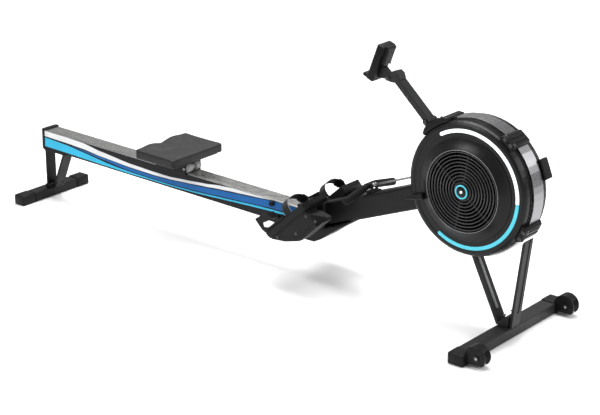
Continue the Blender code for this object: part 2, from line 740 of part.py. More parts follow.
def add_arm_ears(clamp):
    """Two ears and a pin that the monitor arm turns on."""
    ear = 0.0065
    for side in (1, -1):
        y_low, y_high = y_range(side, ARM_WIDTH / 2 + GAP, ARM_WIDTH / 2 + GAP + ear)
        plate = block(
            mirrored("ear_plate", side), (ARM_PIVOT, y_low, -0.0115), (ARM_PIVOT + 0.028, y_high, 0.0115),
            frame=ARM_FRAME,
        )
        tip = drum(
            mirrored("ear_tip", side), 0.0117, y_low + 0.0001, y_high - 0.0001,
            ARM_FRAME @ Matrix.Translation((ARM_PIVOT, 0, 0)), sides=28,
        )
        join(clamp, plate, tip)
    pin = drum(
        "ear_pin", 0.0045, -ARM_WIDTH / 2 - ear - 0.003, ARM_WIDTH / 2 + ear + 0.003,
        ARM_FRAME @ Matrix.Translation((ARM_PIVOT, 0, 0)), sides=20,
    )
    join(clamp, pin)


def make_clamps(materials):
    """Bright straps over the band, bolted to both shells, at three places round the rim."""
    spots = (("clamp_arm", 125.5, 14.0), ("clamp_upper", 52.0, 7.0), ("clamp_lower", -27.0, 7.0))
    for name, middle, reach in spots:
        inner = BAND_RADIUS + GAP
        outer = inner + 0.0125
        y_near = -RIM_HALF_WIDTH + 0.006
        y_far = 0.040
        shoulder = RIM_RADIUS + GAP
        profile = [
            (outer, y_near), (outer, y_far), (shoulder, y_far), (shoulder, BAND_HALF_WIDTH + 0.0008),
            (inner, BAND_HALF_WIDTH + 0.0008), (inner, -BAND_HALF_WIDTH - 0.0008),
            (shoulder, -BAND_HALF_WIDTH - 0.0008), (shoulder, y_near),
        ]
        clamp = turned(
            name, profile, AXLE_FRAME, 6, start=math.radians(middle - reach), sweep=math.radians(2 * reach)
        )
        if name == "clamp_arm":
            add_arm_ears(clamp)
        give(clamp, materials["frame_black"])


def make_socket_bracket(materials):
    """A small bored box on the far side of the rim, towards the front."""
    frame = AXLE_FRAME @ Matrix.Rotation(-math.radians(22.0), 4, "Y")
    box = block(
        "socket_box", (RIM_RADIUS + GAP + 0.0012, 0.034, -0.036),
        (0.2560, 0.078, 0.036), bevel=0.003, frame=frame,
    )
    bore = drum(
        "socket_bore", 0.003, -0.1, 0.1,
        frame @ Matrix.Translation((0.2500, 0, 0.0)), sides=16, helper=True,
    )
    trim = drum(
        "socket_trim", BAND_RADIUS + 0.0006, -0.1,
        BAND_HALF_WIDTH + 0.008, AXLE_FRAME, sides=96, helper=True,
    )
    cut(box, bore, trim)
    give(box, materials["moulded_black"])


def make_damper(materials):
    """A lever that turns the air damper: a grip beside the band, towards the rower."""
    angle = math.radians(198.0)
    frame = AXLE_FRAME @ Matrix.Rotation(-angle, 4, "Y")
    face = -RIM_HALF_WIDTH - 0.0008
    grip = side_prism(
        "damper_lever",
        ((0.176, -0.010), (0.214, -0.006), (0.250, -0.004), (0.250, 0.006), (0.214, 0.012), (0.176, 0.014)),
        face - 0.018, face, frame, bevel=0.003,
    )
    give(grip, materials["moulded_black"], AXLE)


# ---------------------------------------------------------------- chain and handle

HANDLE_ALONG = -0.4665             # along the beam frame, from the axle to the handle
CHAIN_TAIL = 0.188                # how far the chain's hidden end lies past the axle
HANDLE_RADIUS = 0.0145
HANDLE_REACH = 0.145
HANDLE_SWEEP = 0.0
HANDLE_DROOP = 0.19


def make_chain(materials):
    chain = block(
        "chain", (HANDLE_ALONG + HANDLE_RADIUS + 0.018, -0.0035, CHAIN_OFFSET - 0.0040),
        (CHAIN_TAIL, 0.0035, CHAIN_OFFSET + 0.0040), frame=BEAM_FRAME,
    )
    pivot = BEAM_FRAME @ Vector((HANDLE_ALONG, 0, CHAIN_OFFSET))
    give(chain, materials["steel"], pivot)
    link = block(
        "chain_swivel", (HANDLE_ALONG + HANDLE_RADIUS + GAP, -0.0075, CHAIN_OFFSET - 0.0075),
        (HANDLE_ALONG + HANDLE_RADIUS + 0.018 - GAP, 0.0075, CHAIN_OFFSET + 0.0075),
        bevel=0.002, frame=BEAM_FRAME,
    )
    give(link, materials["steel"], pivot)


def handle_point(across):
    """A point on the handle's middle line: its ends sweep back and down."""
    centre = BEAM_FRAME @ Vector((HANDLE_ALONG, 0, CHAIN_OFFSET))
    bend = max(0.0, abs(across) - 0.020)
    return centre + Vector((-HANDLE_SWEEP * bend, across, -HANDLE_DROOP * bend))


def bar_between(name, start, end, radius, sides, bevel=0.0):
    """A round bar from start to end."""
    along = end - start
    turn = Vector((0, 1, 0)).rotation_difference(along.normalized()).to_matrix().to_4x4()
    frame = Matrix.Translation(start) @ turn
    return drum(name, radius, 0.0, along.length, frame, sides=sides, bevel=bevel)


def make_handle(materials):
    pivot = handle_point(0.0)
    core = drum("handle_bar", HANDLE_RADIUS - 0.002, -0.024, 0.024, Matrix.Translation(pivot), sides=20)
    for side in (1, -1):
        arm = bar_between(
            mirrored("handle_arm", side), handle_point(side * 0.018),
            handle_point(side * (HANDLE_REACH - 0.004)),
            HANDLE_RADIUS - 0.0045, 20,
        )
        join(core, arm)
    give(core, materials["frame_black"], pivot)
    for side in (1, -1):
        grip = bar_between(
            mirrored("handle_grip", side), handle_point(side * 0.032), handle_point(side * HANDLE_REACH),
            HANDLE_RADIUS, 20, bevel=0.002,
        )
        bore = bar_between(
            mirrored("grip_bore", side), handle_point(side * 0.024),
            handle_point(side * (HANDLE_REACH - 0.0035)),
            HANDLE_RADIUS - 0.0040, 20,
        )
        cut(grip, bore)
        give(grip, materials["rubber"], pivot)


def make_handle_holder(materials):
    """A rest on the beam's top: the bar lies against two prongs, and the chain runs between them."""
    top = BEAM_HEIGHT / 2 + GAP
    bar = CHAIN_OFFSET
    outline = (
        (HANDLE_ALONG - 0.0120, top), (HANDLE_ALONG + 0.0340, top),
        (HANDLE_ALONG + 0.0340, top + 0.0035), (HANDLE_ALONG + 0.0215, top + 0.0060),
        (HANDLE_ALONG + 0.0205, bar + 0.0070), (HANDLE_ALONG + 0.0155, bar + 0.0070),
        (HANDLE_ALONG + 0.0148, top + 0.0097), (HANDLE_ALONG - 0.0120, top + 0.0097),
    )
    holder = side_prism("handle_holder", outline, -0.018, 0.018, BEAM_FRAME, bevel=0.001)
    gap = block(
        "holder_gap", (HANDLE_ALONG - 0.05, -0.009, top + 0.0107),
        (HANDLE_ALONG + 0.06, 0.009, bar + 0.05), frame=BEAM_FRAME, helper=True,
    )
    cut(holder, gap)
    give(holder, materials["moulded_black"])


# ---------------------------------------------------------------- monitor


def make_monitor_arm(materials):
    """A box-section arm: a round lower end on the clamp's pin and a fork with a pin for the monitor."""
    half = ARM_WIDTH / 2
    low_pin = ARM_FRAME @ Matrix.Translation((ARM_PIVOT, 0, 0))
    arm = block(
        "monitor_arm", (-0.012, -half, -ARM_THICKNESS / 2), (ARM_PIVOT, half, ARM_THICKNESS / 2),
        bevel=0.003, frame=ARM_FRAME,
    )
    heel = drum("arm_heel", ARM_THICKNESS / 2 - 0.0003, -half + 0.0001, half - 0.0001, low_pin, sides=28)
    fork = side_prism(
        "arm_fork",
        (
            (0.5766, 0.8232), (0.5736, 0.8320), (0.5776, 0.8420), (0.5930, 0.8560), (0.6150, 0.8630),
            (0.6290, 0.8530), (0.6350, 0.8360), (0.6150, 0.8200), (0.5930, 0.8200),
        ),
        -half + 0.001, half - 0.001, bevel=0.002,
    )
    pin_frame = Matrix.Translation(MONITOR_PIVOT)
    slot = drum("fork_slot", 0.021, -TONGUE_HALF - GAP, TONGUE_HALF + GAP, pin_frame, sides=36, helper=True)
    bore = drum("arm_bore", 0.0050, -0.1, 0.1, low_pin, sides=20, helper=True)
    pin = drum("fork_pin", 0.0040, -half - 0.0045, half + 0.0045, pin_frame, sides=20)
    join(arm, heel, fork)
    cut(arm, slot, bore)
    join(arm, pin)
    give(arm, materials["frame_black"], low_pin.translation)


def make_monitor_head(materials):
    """A slim display with a ledge under its screen and a tongue that tilts on the arm's pin."""
    housing = block(
        "monitor_housing", (-0.076, -0.036, -0.040),
        (-0.046, 0.036, 0.100), bevel=0.005, frame=MONITOR_FRAME, segments=2
    )
    ledge = block(
        "monitor_ledge", (-0.096, -0.032, -0.0395),
        (-0.070, 0.032, -0.026), bevel=0.003, frame=MONITOR_FRAME,
    )
    rear = block(
        "monitor_back", (-0.049, -0.024, 0.030), (-0.033, 0.024, 0.104), bevel=0.004, frame=MONITOR_FRAME,
    )
    recess = block(
        "screen_recess", (-0.080, -0.0302, -0.018),
        (-0.0745, 0.0302, 0.092), frame=MONITOR_FRAME, helper=True,
    )
    join(housing, ledge, rear)
    cut(housing, recess)
    give(housing, materials["moulded_black"], MONITOR_PIVOT)
    screen = block(
        "monitor_screen", (-0.0758, -0.0298, -0.0176), (-0.0749, 0.0298, 0.0916), frame=MONITOR_FRAME,
    )
    give(screen, materials["screen_glass"], MONITOR_PIVOT)
    tongue = side_prism(
        "monitor_bracket",
        (
            (-0.0456, -0.026), (-0.0456, 0.022), (-0.032, 0.021), (-0.006, 0.0115), (0.006, 0.0105),
            (0.0115, 0.004), (0.0115, -0.004), (0.006, -0.0105), (-0.012, -0.0115),
        ),
        -TONGUE_HALF, TONGUE_HALF, MONITOR_FRAME, bevel=0.001,
    )
    bore = drum("tongue_bore", 0.0044, -0.1, 0.1, MONITOR_FRAME, sides=20, helper=True)
    cut(tongue, bore)
    give(tongue, materials["frame_black"], MONITOR_PIVOT)


# ---------------------------------------------------------------- front legs, foot and wheels


def make_front_legs(materials):
    half = LEG_WIDTH / 2
    floor = FOOT_HEIGHT + GAP
    legs = (
        ("front_leg_rear", (1.0755, 0.042), (0.9490, 0.300)),
        ("front_leg_front", (1.1285, 0.042), (1.1690, 0.370)),
    )
    stop = drum("leg_band_cut", BAND_RADIUS + 0.0006, -0.1, 0.1, AXLE_FRAME, sides=96, helper=True)
    clamp_stop = turned(
        "leg_clamp_cut", [(0.20, -0.08), (0.20, 0.08), (0.2606, 0.08), (0.2606, -0.08)], AXLE_FRAME, 12,
        start=math.radians(-50.0), sweep=math.radians(34.0), helper=True,
    )
    for name, foot, top in legs:
        slope = (top[0] - foot[0]) / (top[1] - foot[1])
        wide = LEG_THICKNESS / 2 / math.cos(math.atan(slope))
        foot_x = foot[0] + slope * (floor - foot[1])
        leg = side_prism(
            name,
            ((foot_x - wide, floor), (foot_x + wide, floor),
             (top[0] + wide, top[1]), (top[0] - wide, top[1])),
            -half, half,
        )
        cut(leg, stop)
        if name == "front_leg_front":
            cut(leg, clamp_stop)
        give(leg, materials["frame_black"])
    base = side_prism(
        "front_base_bracket",
        ((1.0845, floor), (1.1200, floor), (1.1245, 0.083), (1.113, 0.083), (1.0800, 0.053)),
        -0.0325, 0.0325, bevel=0.0015,
    )
    rear_clear = side_prism(
        "base_rear_clear",
        ((1.0000, 0.02), (1.0915, 0.02), (1.0527, 0.10), (1.0000, 0.10)), -0.1, 0.1, helper=True,
    )
    front_clear = side_prism(
        "base_front_clear",
        ((1.1200, 0.02), (1.20, 0.02), (1.20, 0.10), (1.1299, 0.10)), -0.1, 0.1, helper=True,
    )
    cut(base, rear_clear, front_clear)
    give(base, materials["frame_black"])


def make_front_foot(materials):
    x_low, x_high = FRONT_FOOT_X
    width = FRONT_CAP_START - GAP
    bar = block(
        "front_foot_bar", (x_low + 0.001, -width, 0.002), (x_high - 0.001, width, FOOT_HEIGHT), bevel=0.003
    )
    give(bar, materials["frame_black"])
    fender = 0.0400
    centre = Vector((WHEEL.x - 0.010, 0, WHEEL.z - 0.001))
    for side in (1, -1):
        y_low, y_high = y_range(side, FRONT_CAP_START, FRONT_FOOT_HALF_WIDTH)
        cap = block(
            mirrored("front_foot_cap", side),
            (x_low, y_low, 0.0), (x_high, y_high, FOOT_HEIGHT + CAP_PROUD),
            bevel=0.006, segments=2,
        )
        drum_low, drum_high = y_range(side, WHEEL.y - 0.022, WHEEL.y + 0.022)
        housing = drum(
            mirrored("wheel_fender", side), fender, drum_low,
            drum_high, Matrix.Translation(centre), sides=36, bevel=0.002
        )
        pocket_low, pocket_high = y_range(
            side, WHEEL.y - WHEEL_WIDTH / 2 - 0.001, WHEEL.y + WHEEL_WIDTH / 2 + 0.001,
        )
        pocket = drum(
            mirrored("wheel_pocket", side), WHEEL_RADIUS + 0.002, pocket_low, pocket_high,
            Matrix.Translation((WHEEL.x, 0, WHEEL.z)), sides=36, helper=True,
        )
        floor_cut = block(
            mirrored("wheel_floor_cut", side),
            (1.137, y_low - 0.1, -0.05), (1.30, y_high + 0.1, 0.0140), helper=True
        )
        bore = drum(
            mirrored("wheel_bore", side), 0.0054, y_low - 0.05, y_high + 0.05,
            Matrix.Translation((WHEEL.x, 0, WHEEL.z)), sides=20, helper=True,
        )
        join(cap, housing)
        cut(cap, pocket, floor_cut, bore)
        give(cap, materials["moulded_black"])


def make_wheels(materials):
    half = WHEEL_WIDTH / 2
    bore = 0.0054
    for side in (1, -1):
        centre = Vector((WHEEL.x, side * WHEEL.y, WHEEL.z))
        frame = Matrix.Translation(centre)
        profile = [
            (bore, -half), (0.020, -half),
            (WHEEL_RADIUS - 0.003, -half + 0.001), (WHEEL_RADIUS, -half + 0.004),
            (WHEEL_RADIUS, half - 0.004), (WHEEL_RADIUS - 0.003, half - 0.001), (0.020, half), (bore, half),
        ]
        wheel = turned(mirrored("transport_wheel", side), profile, frame, 36)
        give(wheel, materials["rubber"], centre)
        axle = drum(mirrored("wheel_axle", side), 0.0050, -0.0230, 0.0230, frame, sides=20)
        for end in (1, -1):
            low, high = (0.0224, 0.0262) if end > 0 else (-0.0262, -0.0224)
            head = drum(mirrored(f"axle_head_{side}", end), 0.0085, low, high, frame, sides=6)
            join(axle, head)
        give(axle, materials["steel"])


# ---------------------------------------------------------------- assembly


def make_rowing_machine():
    clear_scene()
    materials = make_materials()
    make_rear_foot(materials)
    make_rear_stand(materials)
    rail = make_rail(materials)
    make_rail_stop(materials, rail)
    make_seat(materials)
    make_beam(materials)
    make_rail_housing(materials)
    for side in (1, -1):
        make_footboard(materials, side)
        make_heel_cup(materials, side)
        make_foot_strap(materials, side)
    make_casing(materials)
    make_light_arcs(materials)
    make_grilles(materials)
    make_hub(materials)
    make_flywheel(materials)
    make_sprockets(materials)
    make_clamps(materials)
    make_socket_bracket(materials)
    make_damper(materials)
    make_chain(materials)
    make_handle(materials)
    make_handle_holder(materials)
    make_monitor_arm(materials)
    make_monitor_head(materials)
    make_front_legs(materials)
    make_front_foot(materials)
    make_wheels(materials)


make_rowing_machine()
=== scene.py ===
from math import atan2, copysign, cos, degrees, exp, hypot, pi, radians, sin, tan

import bmesh
import bpy
from mathutils import Matrix, Vector


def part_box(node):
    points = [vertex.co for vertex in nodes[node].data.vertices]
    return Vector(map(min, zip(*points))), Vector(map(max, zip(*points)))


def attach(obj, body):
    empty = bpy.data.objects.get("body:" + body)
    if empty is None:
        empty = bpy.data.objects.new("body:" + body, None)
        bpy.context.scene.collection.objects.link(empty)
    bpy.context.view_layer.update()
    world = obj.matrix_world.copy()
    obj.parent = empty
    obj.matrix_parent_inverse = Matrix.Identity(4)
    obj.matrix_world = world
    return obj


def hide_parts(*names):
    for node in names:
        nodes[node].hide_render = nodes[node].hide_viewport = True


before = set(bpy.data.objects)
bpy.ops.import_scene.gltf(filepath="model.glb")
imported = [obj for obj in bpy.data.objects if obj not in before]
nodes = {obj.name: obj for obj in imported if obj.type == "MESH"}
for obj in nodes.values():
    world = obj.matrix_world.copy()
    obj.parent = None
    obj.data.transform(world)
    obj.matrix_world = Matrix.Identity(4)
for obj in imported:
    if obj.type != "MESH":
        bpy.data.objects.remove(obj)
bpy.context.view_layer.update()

# ---------------- places taken from the CAD

AXLE = Vector((0.9566, 0.0, 0.5189))
RAIL_REAR = Vector((-1.1745, 0.0, 0.2938))
RAIL_TILT = radians(1.0)
RAIL_HALF = 0.0358
RAIL_HEIGHT = 0.083
BEAM_TILT = radians(21.4)
BOARD_TILT = radians(42.0)
CHAIN_OFFSET = 0.069
HANDLE_ALONG = -0.4665
HANDLE_DROOP = 0.19
MONITOR_PIVOT = Vector((0.5846, 0.0, 0.832))
MONITOR_TILT = radians(20.6)
ARM_TILT = radians(42.5)
ARM_TOP = Vector((0.6155, 0.0, 0.834))
ARM_HINGE = 0.186
RIM_RADIUS = 0.2385
BAND_RADIUS = 0.2465
CLAMP_TURNS = (52.0, -27.0)
CLAMP_REACH = 7.0
SIDES = (("left", 1), ("right", -1))
QUARTER = radians(90)


def tilted(origin, tilt):
    """A frame at origin whose +X rises by tilt."""
    return Matrix.Translation(origin) @ Matrix.Rotation(-tilt, 4, "Y")


RAIL = tilted(RAIL_REAR, -RAIL_TILT)
BEAM = tilted(AXLE, BEAM_TILT)
BOARD = tilted(Vector((0.131, 0.0, 0.18)), BOARD_TILT)
MONITOR = tilted(MONITOR_PIVOT, -MONITOR_TILT)
ARM = tilted(ARM_TOP, -ARM_TILT)
HUB = Matrix.Translation(AXLE)

# ---------------- materials


class Shader:
    """A small helper that adds nodes to a new material and links them."""

    def __init__(self, name, rough, metal=0.0, spec=0.5, **sockets):
        self.material = bpy.data.materials.new(name)
        self.material.use_nodes = True
        self.tree = self.material.node_tree
        self.bsdf = self.tree.nodes["Principled BSDF"]
        self.bsdf.inputs["Roughness"].default_value = rough
        self.bsdf.inputs["Metallic"].default_value = metal
        self.bsdf.inputs["Specular IOR Level"].default_value = spec
        for socket, value in sockets.items():
            self.bsdf.inputs[socket.replace("_", " ")].default_value = value
        self.coords = self.add("TexCoord").outputs["Object"]

    def add(self, kind, inputs=None, **settings):
        """A new node; inputs gives each socket a value or another node's output."""
        node = self.tree.nodes.new("ShaderNode" + kind)
        for key, value in settings.items():
            setattr(node, key, value)
        for key, value in (inputs or {}).items():
            self.feed(node.inputs[key], value)
        return node

    def feed(self, socket, value):
        if isinstance(value, bpy.types.NodeSocket):
            self.tree.links.new(value, socket)
        else:
            socket.default_value = value

    def maths(self, operation, first, second=0.0):
        return self.add("Math", {0: first, 1: second}, operation=operation).outputs[0]

    def noise(self, scale, detail=3.0, stretch=None):
        vector = self.coords
        if stretch:
            vector = self.add("Mapping", {"Scale": stretch, "Vector": vector}).outputs[0]
        node = self.add("TexNoise", {"Scale": scale, "Detail": detail, "Vector": vector})
        return node.outputs["Fac"]

    def ramp(self, factor, *stops):
        node = self.add("ValToRGB", {"Fac": factor})
        while len(node.color_ramp.elements) < len(stops):
            node.color_ramp.elements.new(0.5)
        for element, (place, colour) in zip(node.color_ramp.elements, stops):
            element.position = place
            element.color = (*colour, 1.0)
        return node.outputs["Color"]

    def blend(self, factor, first, second):
        pair = [
            value if isinstance(value, bpy.types.NodeSocket) else (*value, 1.0)
            for value in (first, second)
        ]
        node = self.add("Mix", {"Factor": factor, "A": pair[0], "B": pair[1]}, data_type="RGBA")
        return node.outputs["Result"]

    def remap(self, value, low, high, new_low=0.0, new_high=1.0):
        limits = {"From Min": low, "From Max": high, "To Min": new_low, "To Max": new_high}
        return self.add("MapRange", {"Value": value, **limits}).outputs["Result"]

    def spread(self, factor, low, high):
        """The middle part of a noise, spread over a range of values."""
        return self.remap(factor, 0.3, 0.7, low, high)

    def bump(self, height, strength, distance, normal=None):
        node = self.add("Bump", {"Strength": strength, "Distance": distance, "Height": height})
        if normal is not None:
            self.feed(node.inputs["Normal"], normal)
        return node.outputs["Normal"]

    def rounded(self, radius):
        return self.add("Bevel", {"Radius": radius}, samples=6).outputs["Normal"]

    def edge_mask(self, rounded, low, high):
        """1 where the rounded normal leaves the face's own, which is along the edges."""
        own = self.add("NewGeometry").outputs["Normal"]
        dot = self.add("VectorMath", {0: rounded, 1: own}, operation="DOT_PRODUCT")
        return self.remap(dot.outputs["Value"], high, low)

    def done(self, colour=None, rough=None, normal=None):
        for socket, value in (("Base Color", colour), ("Roughness", rough), ("Normal", normal)):
            if value is not None:
                self.feed(self.bsdf.inputs[socket], value)
        return self.material


def tint(colour, share):
    return tuple(min(1.0, channel * share) for channel in colour)


def coated(name, colour, rough, grain, depth, edge=0.0012, edge_wear_and_highlight=1.9, **sockets):
    """Paint or moulded plastic: cloudy colour, fine grain, and edges painted a little lighter, as
    rubbed wear and as painted edge highlights.
    """
    blotch = 7.0
    shader = Shader(name, rough, **sockets)
    cloud = shader.noise(blotch, 5.0)
    fine = shader.noise(grain, 2.0)
    base = shader.ramp(cloud, (0.3, tint(colour, 0.86)), (0.7, tint(colour, 1.16)))
    rounded = shader.rounded(edge)
    # Painted highlight and wear: edges are lightened partly as rubbed wear and partly as the bright
    # highlights that edges catch.
    rub_and_highlight = shader.maths("MULTIPLY", shader.edge_mask(rounded, 0.8, 0.995), shader.noise(55.0, 4.0))
    base = shader.blend(rub_and_highlight, base, tint(colour, edge_wear_and_highlight))
    roughness = shader.spread(shader.noise(blotch * 4, 4.0), rough - 0.06, rough + 0.07)
    return shader.done(base, roughness, shader.bump(fine, 0.35, depth, rounded))


def brushed(name, colour, rough, stretch, depth=0.15):
    """Bare metal with fine lines along one direction."""
    shader = Shader(name, rough, 1.0)
    lines = shader.noise(1.0, 4.0, stretch)
    cloud = shader.noise(5.0, 3.0)
    base = shader.ramp(lines, (0.25, tint(colour, 0.8)), (0.75, tint(colour, 1.14)))
    base = shader.blend(shader.spread(cloud, 0.0, 0.25), base, tint(colour, 0.75))
    roughness = shader.spread(lines, rough - 0.08, rough + 0.1)
    return shader.done(base, roughness, shader.bump(lines, depth, 0.0002, shader.rounded(0.0008)))


HOLE_ROW_PITCH = 0.0043
HOLE_FIELD_HALF = 0.0262


def perforated(name, colour):
    """A steel band round the axle, with staggered rows of small round holes, their insides painted dark
    as shade.
    """
    shader = Shader(name, 0.27, 1.0)
    maths = shader.maths
    local = shader.add("VectorMath", {0: shader.coords, 1: AXLE}, operation="SUBTRACT")
    split = shader.add("SeparateXYZ", {0: local.outputs[0]})
    angle = maths("ARCTAN2", split.outputs["Z"], split.outputs["X"])
    along = maths("MULTIPLY", angle, 180 / pi)
    across = maths("DIVIDE", split.outputs["Y"], HOLE_ROW_PITCH)
    row = maths("MULTIPLY", maths("FLOOR", maths("ADD", across, 0.5)), 0.5)
    cell_u = maths("SUBTRACT", maths("FRACT", maths("ADD", along, row)), 0.5)
    cell_v = maths("SUBTRACT", maths("FRACT", maths("ADD", across, 0.5)), 0.5)
    square_u, square_v = maths("MULTIPLY", cell_u, cell_u), maths("MULTIPLY", cell_v, cell_v)
    reach = maths("SQRT", maths("ADD", square_u, square_v))
    inside = maths("LESS_THAN", maths("ABSOLUTE", split.outputs["Y"]), HOLE_FIELD_HALF)
    hole = maths("MULTIPLY", maths("LESS_THAN", reach, 0.27), inside)
    lines = shader.noise(1.0, 4.0, (30.0, 2200.0, 30.0))
    base = shader.ramp(lines, (0.25, tint(colour, 0.82)), (0.75, tint(colour, 1.1)))
    # Painted shade: the holes are painted darker, as the shade inside them.
    base = shader.blend(hole, base, tint(colour, 0.62))
    normal = shader.bump(hole, -0.12, 0.0004, shader.rounded(0.0006))
    return shader.done(base, shader.spread(lines, 0.2, 0.36), normal)


def webbing(name, colour):
    """Woven strap: ribs along and across."""
    shader = Shader(name, 0.88, spec=0.25, Sheen_Weight=0.08)
    level = shader.add("Mapping", {"Rotation": (0.0, BOARD_TILT, 0.0), "Vector": shader.coords})
    ribs = []
    for direction, scale in (("X", 95.0), ("Y", 130.0), ("Z", 130.0)):
        inputs = {"Scale": scale, "Distortion": 0.6, "Detail": 1.0, "Vector": level.outputs[0]}
        ribs.append(shader.add("TexWave", inputs, bands_direction=direction).outputs["Fac"])
    weave = shader.maths("MULTIPLY", ribs[0], shader.maths("MAXIMUM", ribs[1], ribs[2]))
    # Painted shade and highlight: the weave is painted darker in its dips and lighter on its raised
    # ribs.
    base = shader.ramp(weave, (0.1, tint(colour, 0.6)), (0.9, tint(colour, 1.7)))
    fuzz = shader.noise(900.0, 3.0)
    base = shader.blend(shader.spread(fuzz, 0.0, 0.22), base, tint(colour, 2.4))
    return shader.done(base, shader.spread(fuzz, 0.8, 0.95), shader.bump(weave, 0.7, 0.0007))


def skin(name, colour, rough, cell, depth, **sockets):
    """Grained cover or foam skin: small rounded cells with creases between them, the creases painted
    dark as shade.
    """
    shader = Shader(name, rough, **sockets)
    inputs = {"Scale": cell, "Vector": shader.coords}
    cells = shader.add("TexVoronoi", inputs, feature="DISTANCE_TO_EDGE")
    crease = shader.remap(cells.outputs["Distance"], 0.0, 0.16)
    cloud = shader.noise(11.0, 4.0)
    base = shader.ramp(cloud, (0.3, tint(colour, 0.88)), (0.7, tint(colour, 1.14)))
    # Painted shade: the creases between the cells are painted darker.
    dark = shader.maths("MULTIPLY", crease, 0.35)
    base = shader.blend(dark, tint(colour, 0.66), base)
    grain = shader.maths("MULTIPLY", shader.noise(cell * 3, 2.0), 0.35)
    relief = shader.maths("ADD", crease, grain)
    roughness = shader.spread(shader.noise(40.0, 4.0), rough - 0.05, rough + 0.08)
    return shader.done(base, roughness, shader.bump(relief, 0.45, depth))


def glossy(name, colour, rough, glow=0.0):
    """Smooth translucent plastic or printed film with faint specks and haze."""
    shader = Shader(name, rough, spec=0.12)
    if glow:
        shader.bsdf.inputs["Emission Color"].default_value = (*colour, 1.0)
        shader.bsdf.inputs["Emission Strength"].default_value = glow
    cloud = shader.noise(18.0, 4.0)
    base = shader.ramp(cloud, (0.3, tint(colour, 0.94)), (0.7, tint(colour, 1.04)))
    roughness = shader.spread(cloud, rough - 0.04, rough + 0.06)
    return shader.done(base, roughness, shader.bump(shader.noise(1600.0, 2.0), 0.12, 0.0001))


paint = coated("paint_black", (0.0078, 0.0078, 0.0083), 0.4, 2600.0, 0.00012, spec=0.15)
stand_paint = coated("paint_stand", (0.0185, 0.0185, 0.019), 0.4, 2600.0, 0.00012, spec=0.17)
plastic = coated("plastic_black", (0.0062, 0.0062, 0.0066), 0.46, 1500.0, 0.00018, spec=0.14)
shell = coated("plastic_casing", (0.0058, 0.0058, 0.0062), 0.32, 1800.0, 0.0001, 0.002, spec=0.2)
wire = coated("plastic_grille", (0.02, 0.02, 0.022), 0.28, 1500.0, 0.0001, 0.0006)
fan = coated("plastic_fan", (0.004, 0.004, 0.005), 0.6, 900.0, 0.00015, spec=0.12)
# Painted highlight: this pale grey stands for the highlight along the cage's lip and on the rear leg's
# slot floor; on the straps it is the thread's own colour.
highlight_and_thread_grey = coated("pale_grey_highlight_and_thread", (0.24, 0.24, 0.245), 0.3, 1500.0, 0.00008, 0.0004)
roller_grey = coated("roller_grey", (0.3, 0.3, 0.295), 0.5, 1200.0, 0.0001, edge_wear_and_highlight=1.2)
rubber = skin("rubber_black", (0.006, 0.006, 0.006), 0.68, 620.0, 0.00025, spec=0.16)
foam = skin("foam_grip", (0.0075, 0.0075, 0.008), 0.74, 900.0, 0.0003, spec=0.16)
cover = skin("seat_cover", (0.0125, 0.0125, 0.0132), 0.48, 430.0, 0.00022, spec=0.26, Sheen_Weight=0.05)
web = webbing("strap_webbing", (0.006, 0.006, 0.0064))
alloy = brushed("rail_alloy", (0.46, 0.46, 0.45), 0.27, (12.0, 900.0, 900.0), depth=0.02)
steel = brushed("bright_steel", (0.5, 0.5, 0.51), 0.3, (260.0, 260.0, 60.0))
chain_steel = brushed("chain_steel", (0.22, 0.22, 0.225), 0.36, (400.0, 400.0, 400.0))
dark_steel = brushed("dark_bolt_steel", (0.09, 0.09, 0.095), 0.36, (400.0, 400.0, 400.0))
band = perforated("band_steel", (0.31, 0.31, 0.32))
light_white = glossy("light_white", (0.88, 0.93, 0.95), 0.3, 0.55)
light_cyan = glossy("light_cyan", (0.1, 0.57, 0.7), 0.3, 0.16)
print_white = glossy("print_white", (0.68, 0.69, 0.7), 0.34)
print_blue = glossy("print_blue", (0.008, 0.105, 0.33), 0.34)
print_cyan = glossy("print_cyan", (0.035, 0.42, 0.65), 0.34)
film_black = glossy("film_black", (0.007, 0.0075, 0.009), 0.36)
screen = glossy("screen_glass", (0.01, 0.013, 0.015), 0.14)
segment = glossy("screen_segment", (0.52, 0.66, 0.66), 0.35, 0.25)

# ---------------- mesh building


def new_object(name, data):
    obj = bpy.data.objects.new(name, data)
    bpy.context.scene.collection.objects.link(obj)
    return obj


def aim(obj, direction):
    """Turns a camera or a lamp so that it looks along a direction."""
    obj.rotation_mode = "QUATERNION"
    obj.rotation_quaternion = direction.to_track_quat("-Z", "Y")


def shade_smooth(mesh, angle=None):
    """Smooth faces; with an angle, edges that bend by more stay sharp."""
    for polygon in mesh.polygons:
        polygon.use_smooth = True
    if angle is not None:
        mesh.set_sharp_from_angle(angle=radians(angle))


def bridge(bm, rows, ring=False):
    """Joins neighbouring rows of points, as a closed ring or as a bar with flat ends."""
    count = len(rows[0])
    for step in range(len(rows) if ring else len(rows) - 1):
        first, second = rows[step], rows[(step + 1) % len(rows)]
        for index in range(count):
            after = (index + 1) % count
            bm.faces.new((first[index], first[after], second[after], second[index]))
    if not ring:
        bm.faces.new(rows[0])
        bm.faces.new(rows[-1][::-1])


def rod(radius, low, high):
    """The lathe profile of a plain pin from one y to another."""
    return ((0.0001, low), (radius, low), (radius, high), (0.0001, high))


def add_block(bm, low, high, place=Matrix(), bevel=0.0, segments=2):
    """A block between two corners in the frame place; bevel rounds its edges."""
    low, high = Vector(low), Vector(high)
    matrix = place @ Matrix.Translation((low + high) / 2) @ Matrix.Diagonal((*(high - low), 1.0))
    made = bmesh.ops.create_cube(bm, size=1.0, matrix=matrix)
    if bevel:
        edges = list(dict.fromkeys(edge for vert in made["verts"] for edge in vert.link_edges))
        bmesh.ops.bevel(bm, geom=edges, offset=bevel, segments=segments, affect="EDGES", profile=0.5)


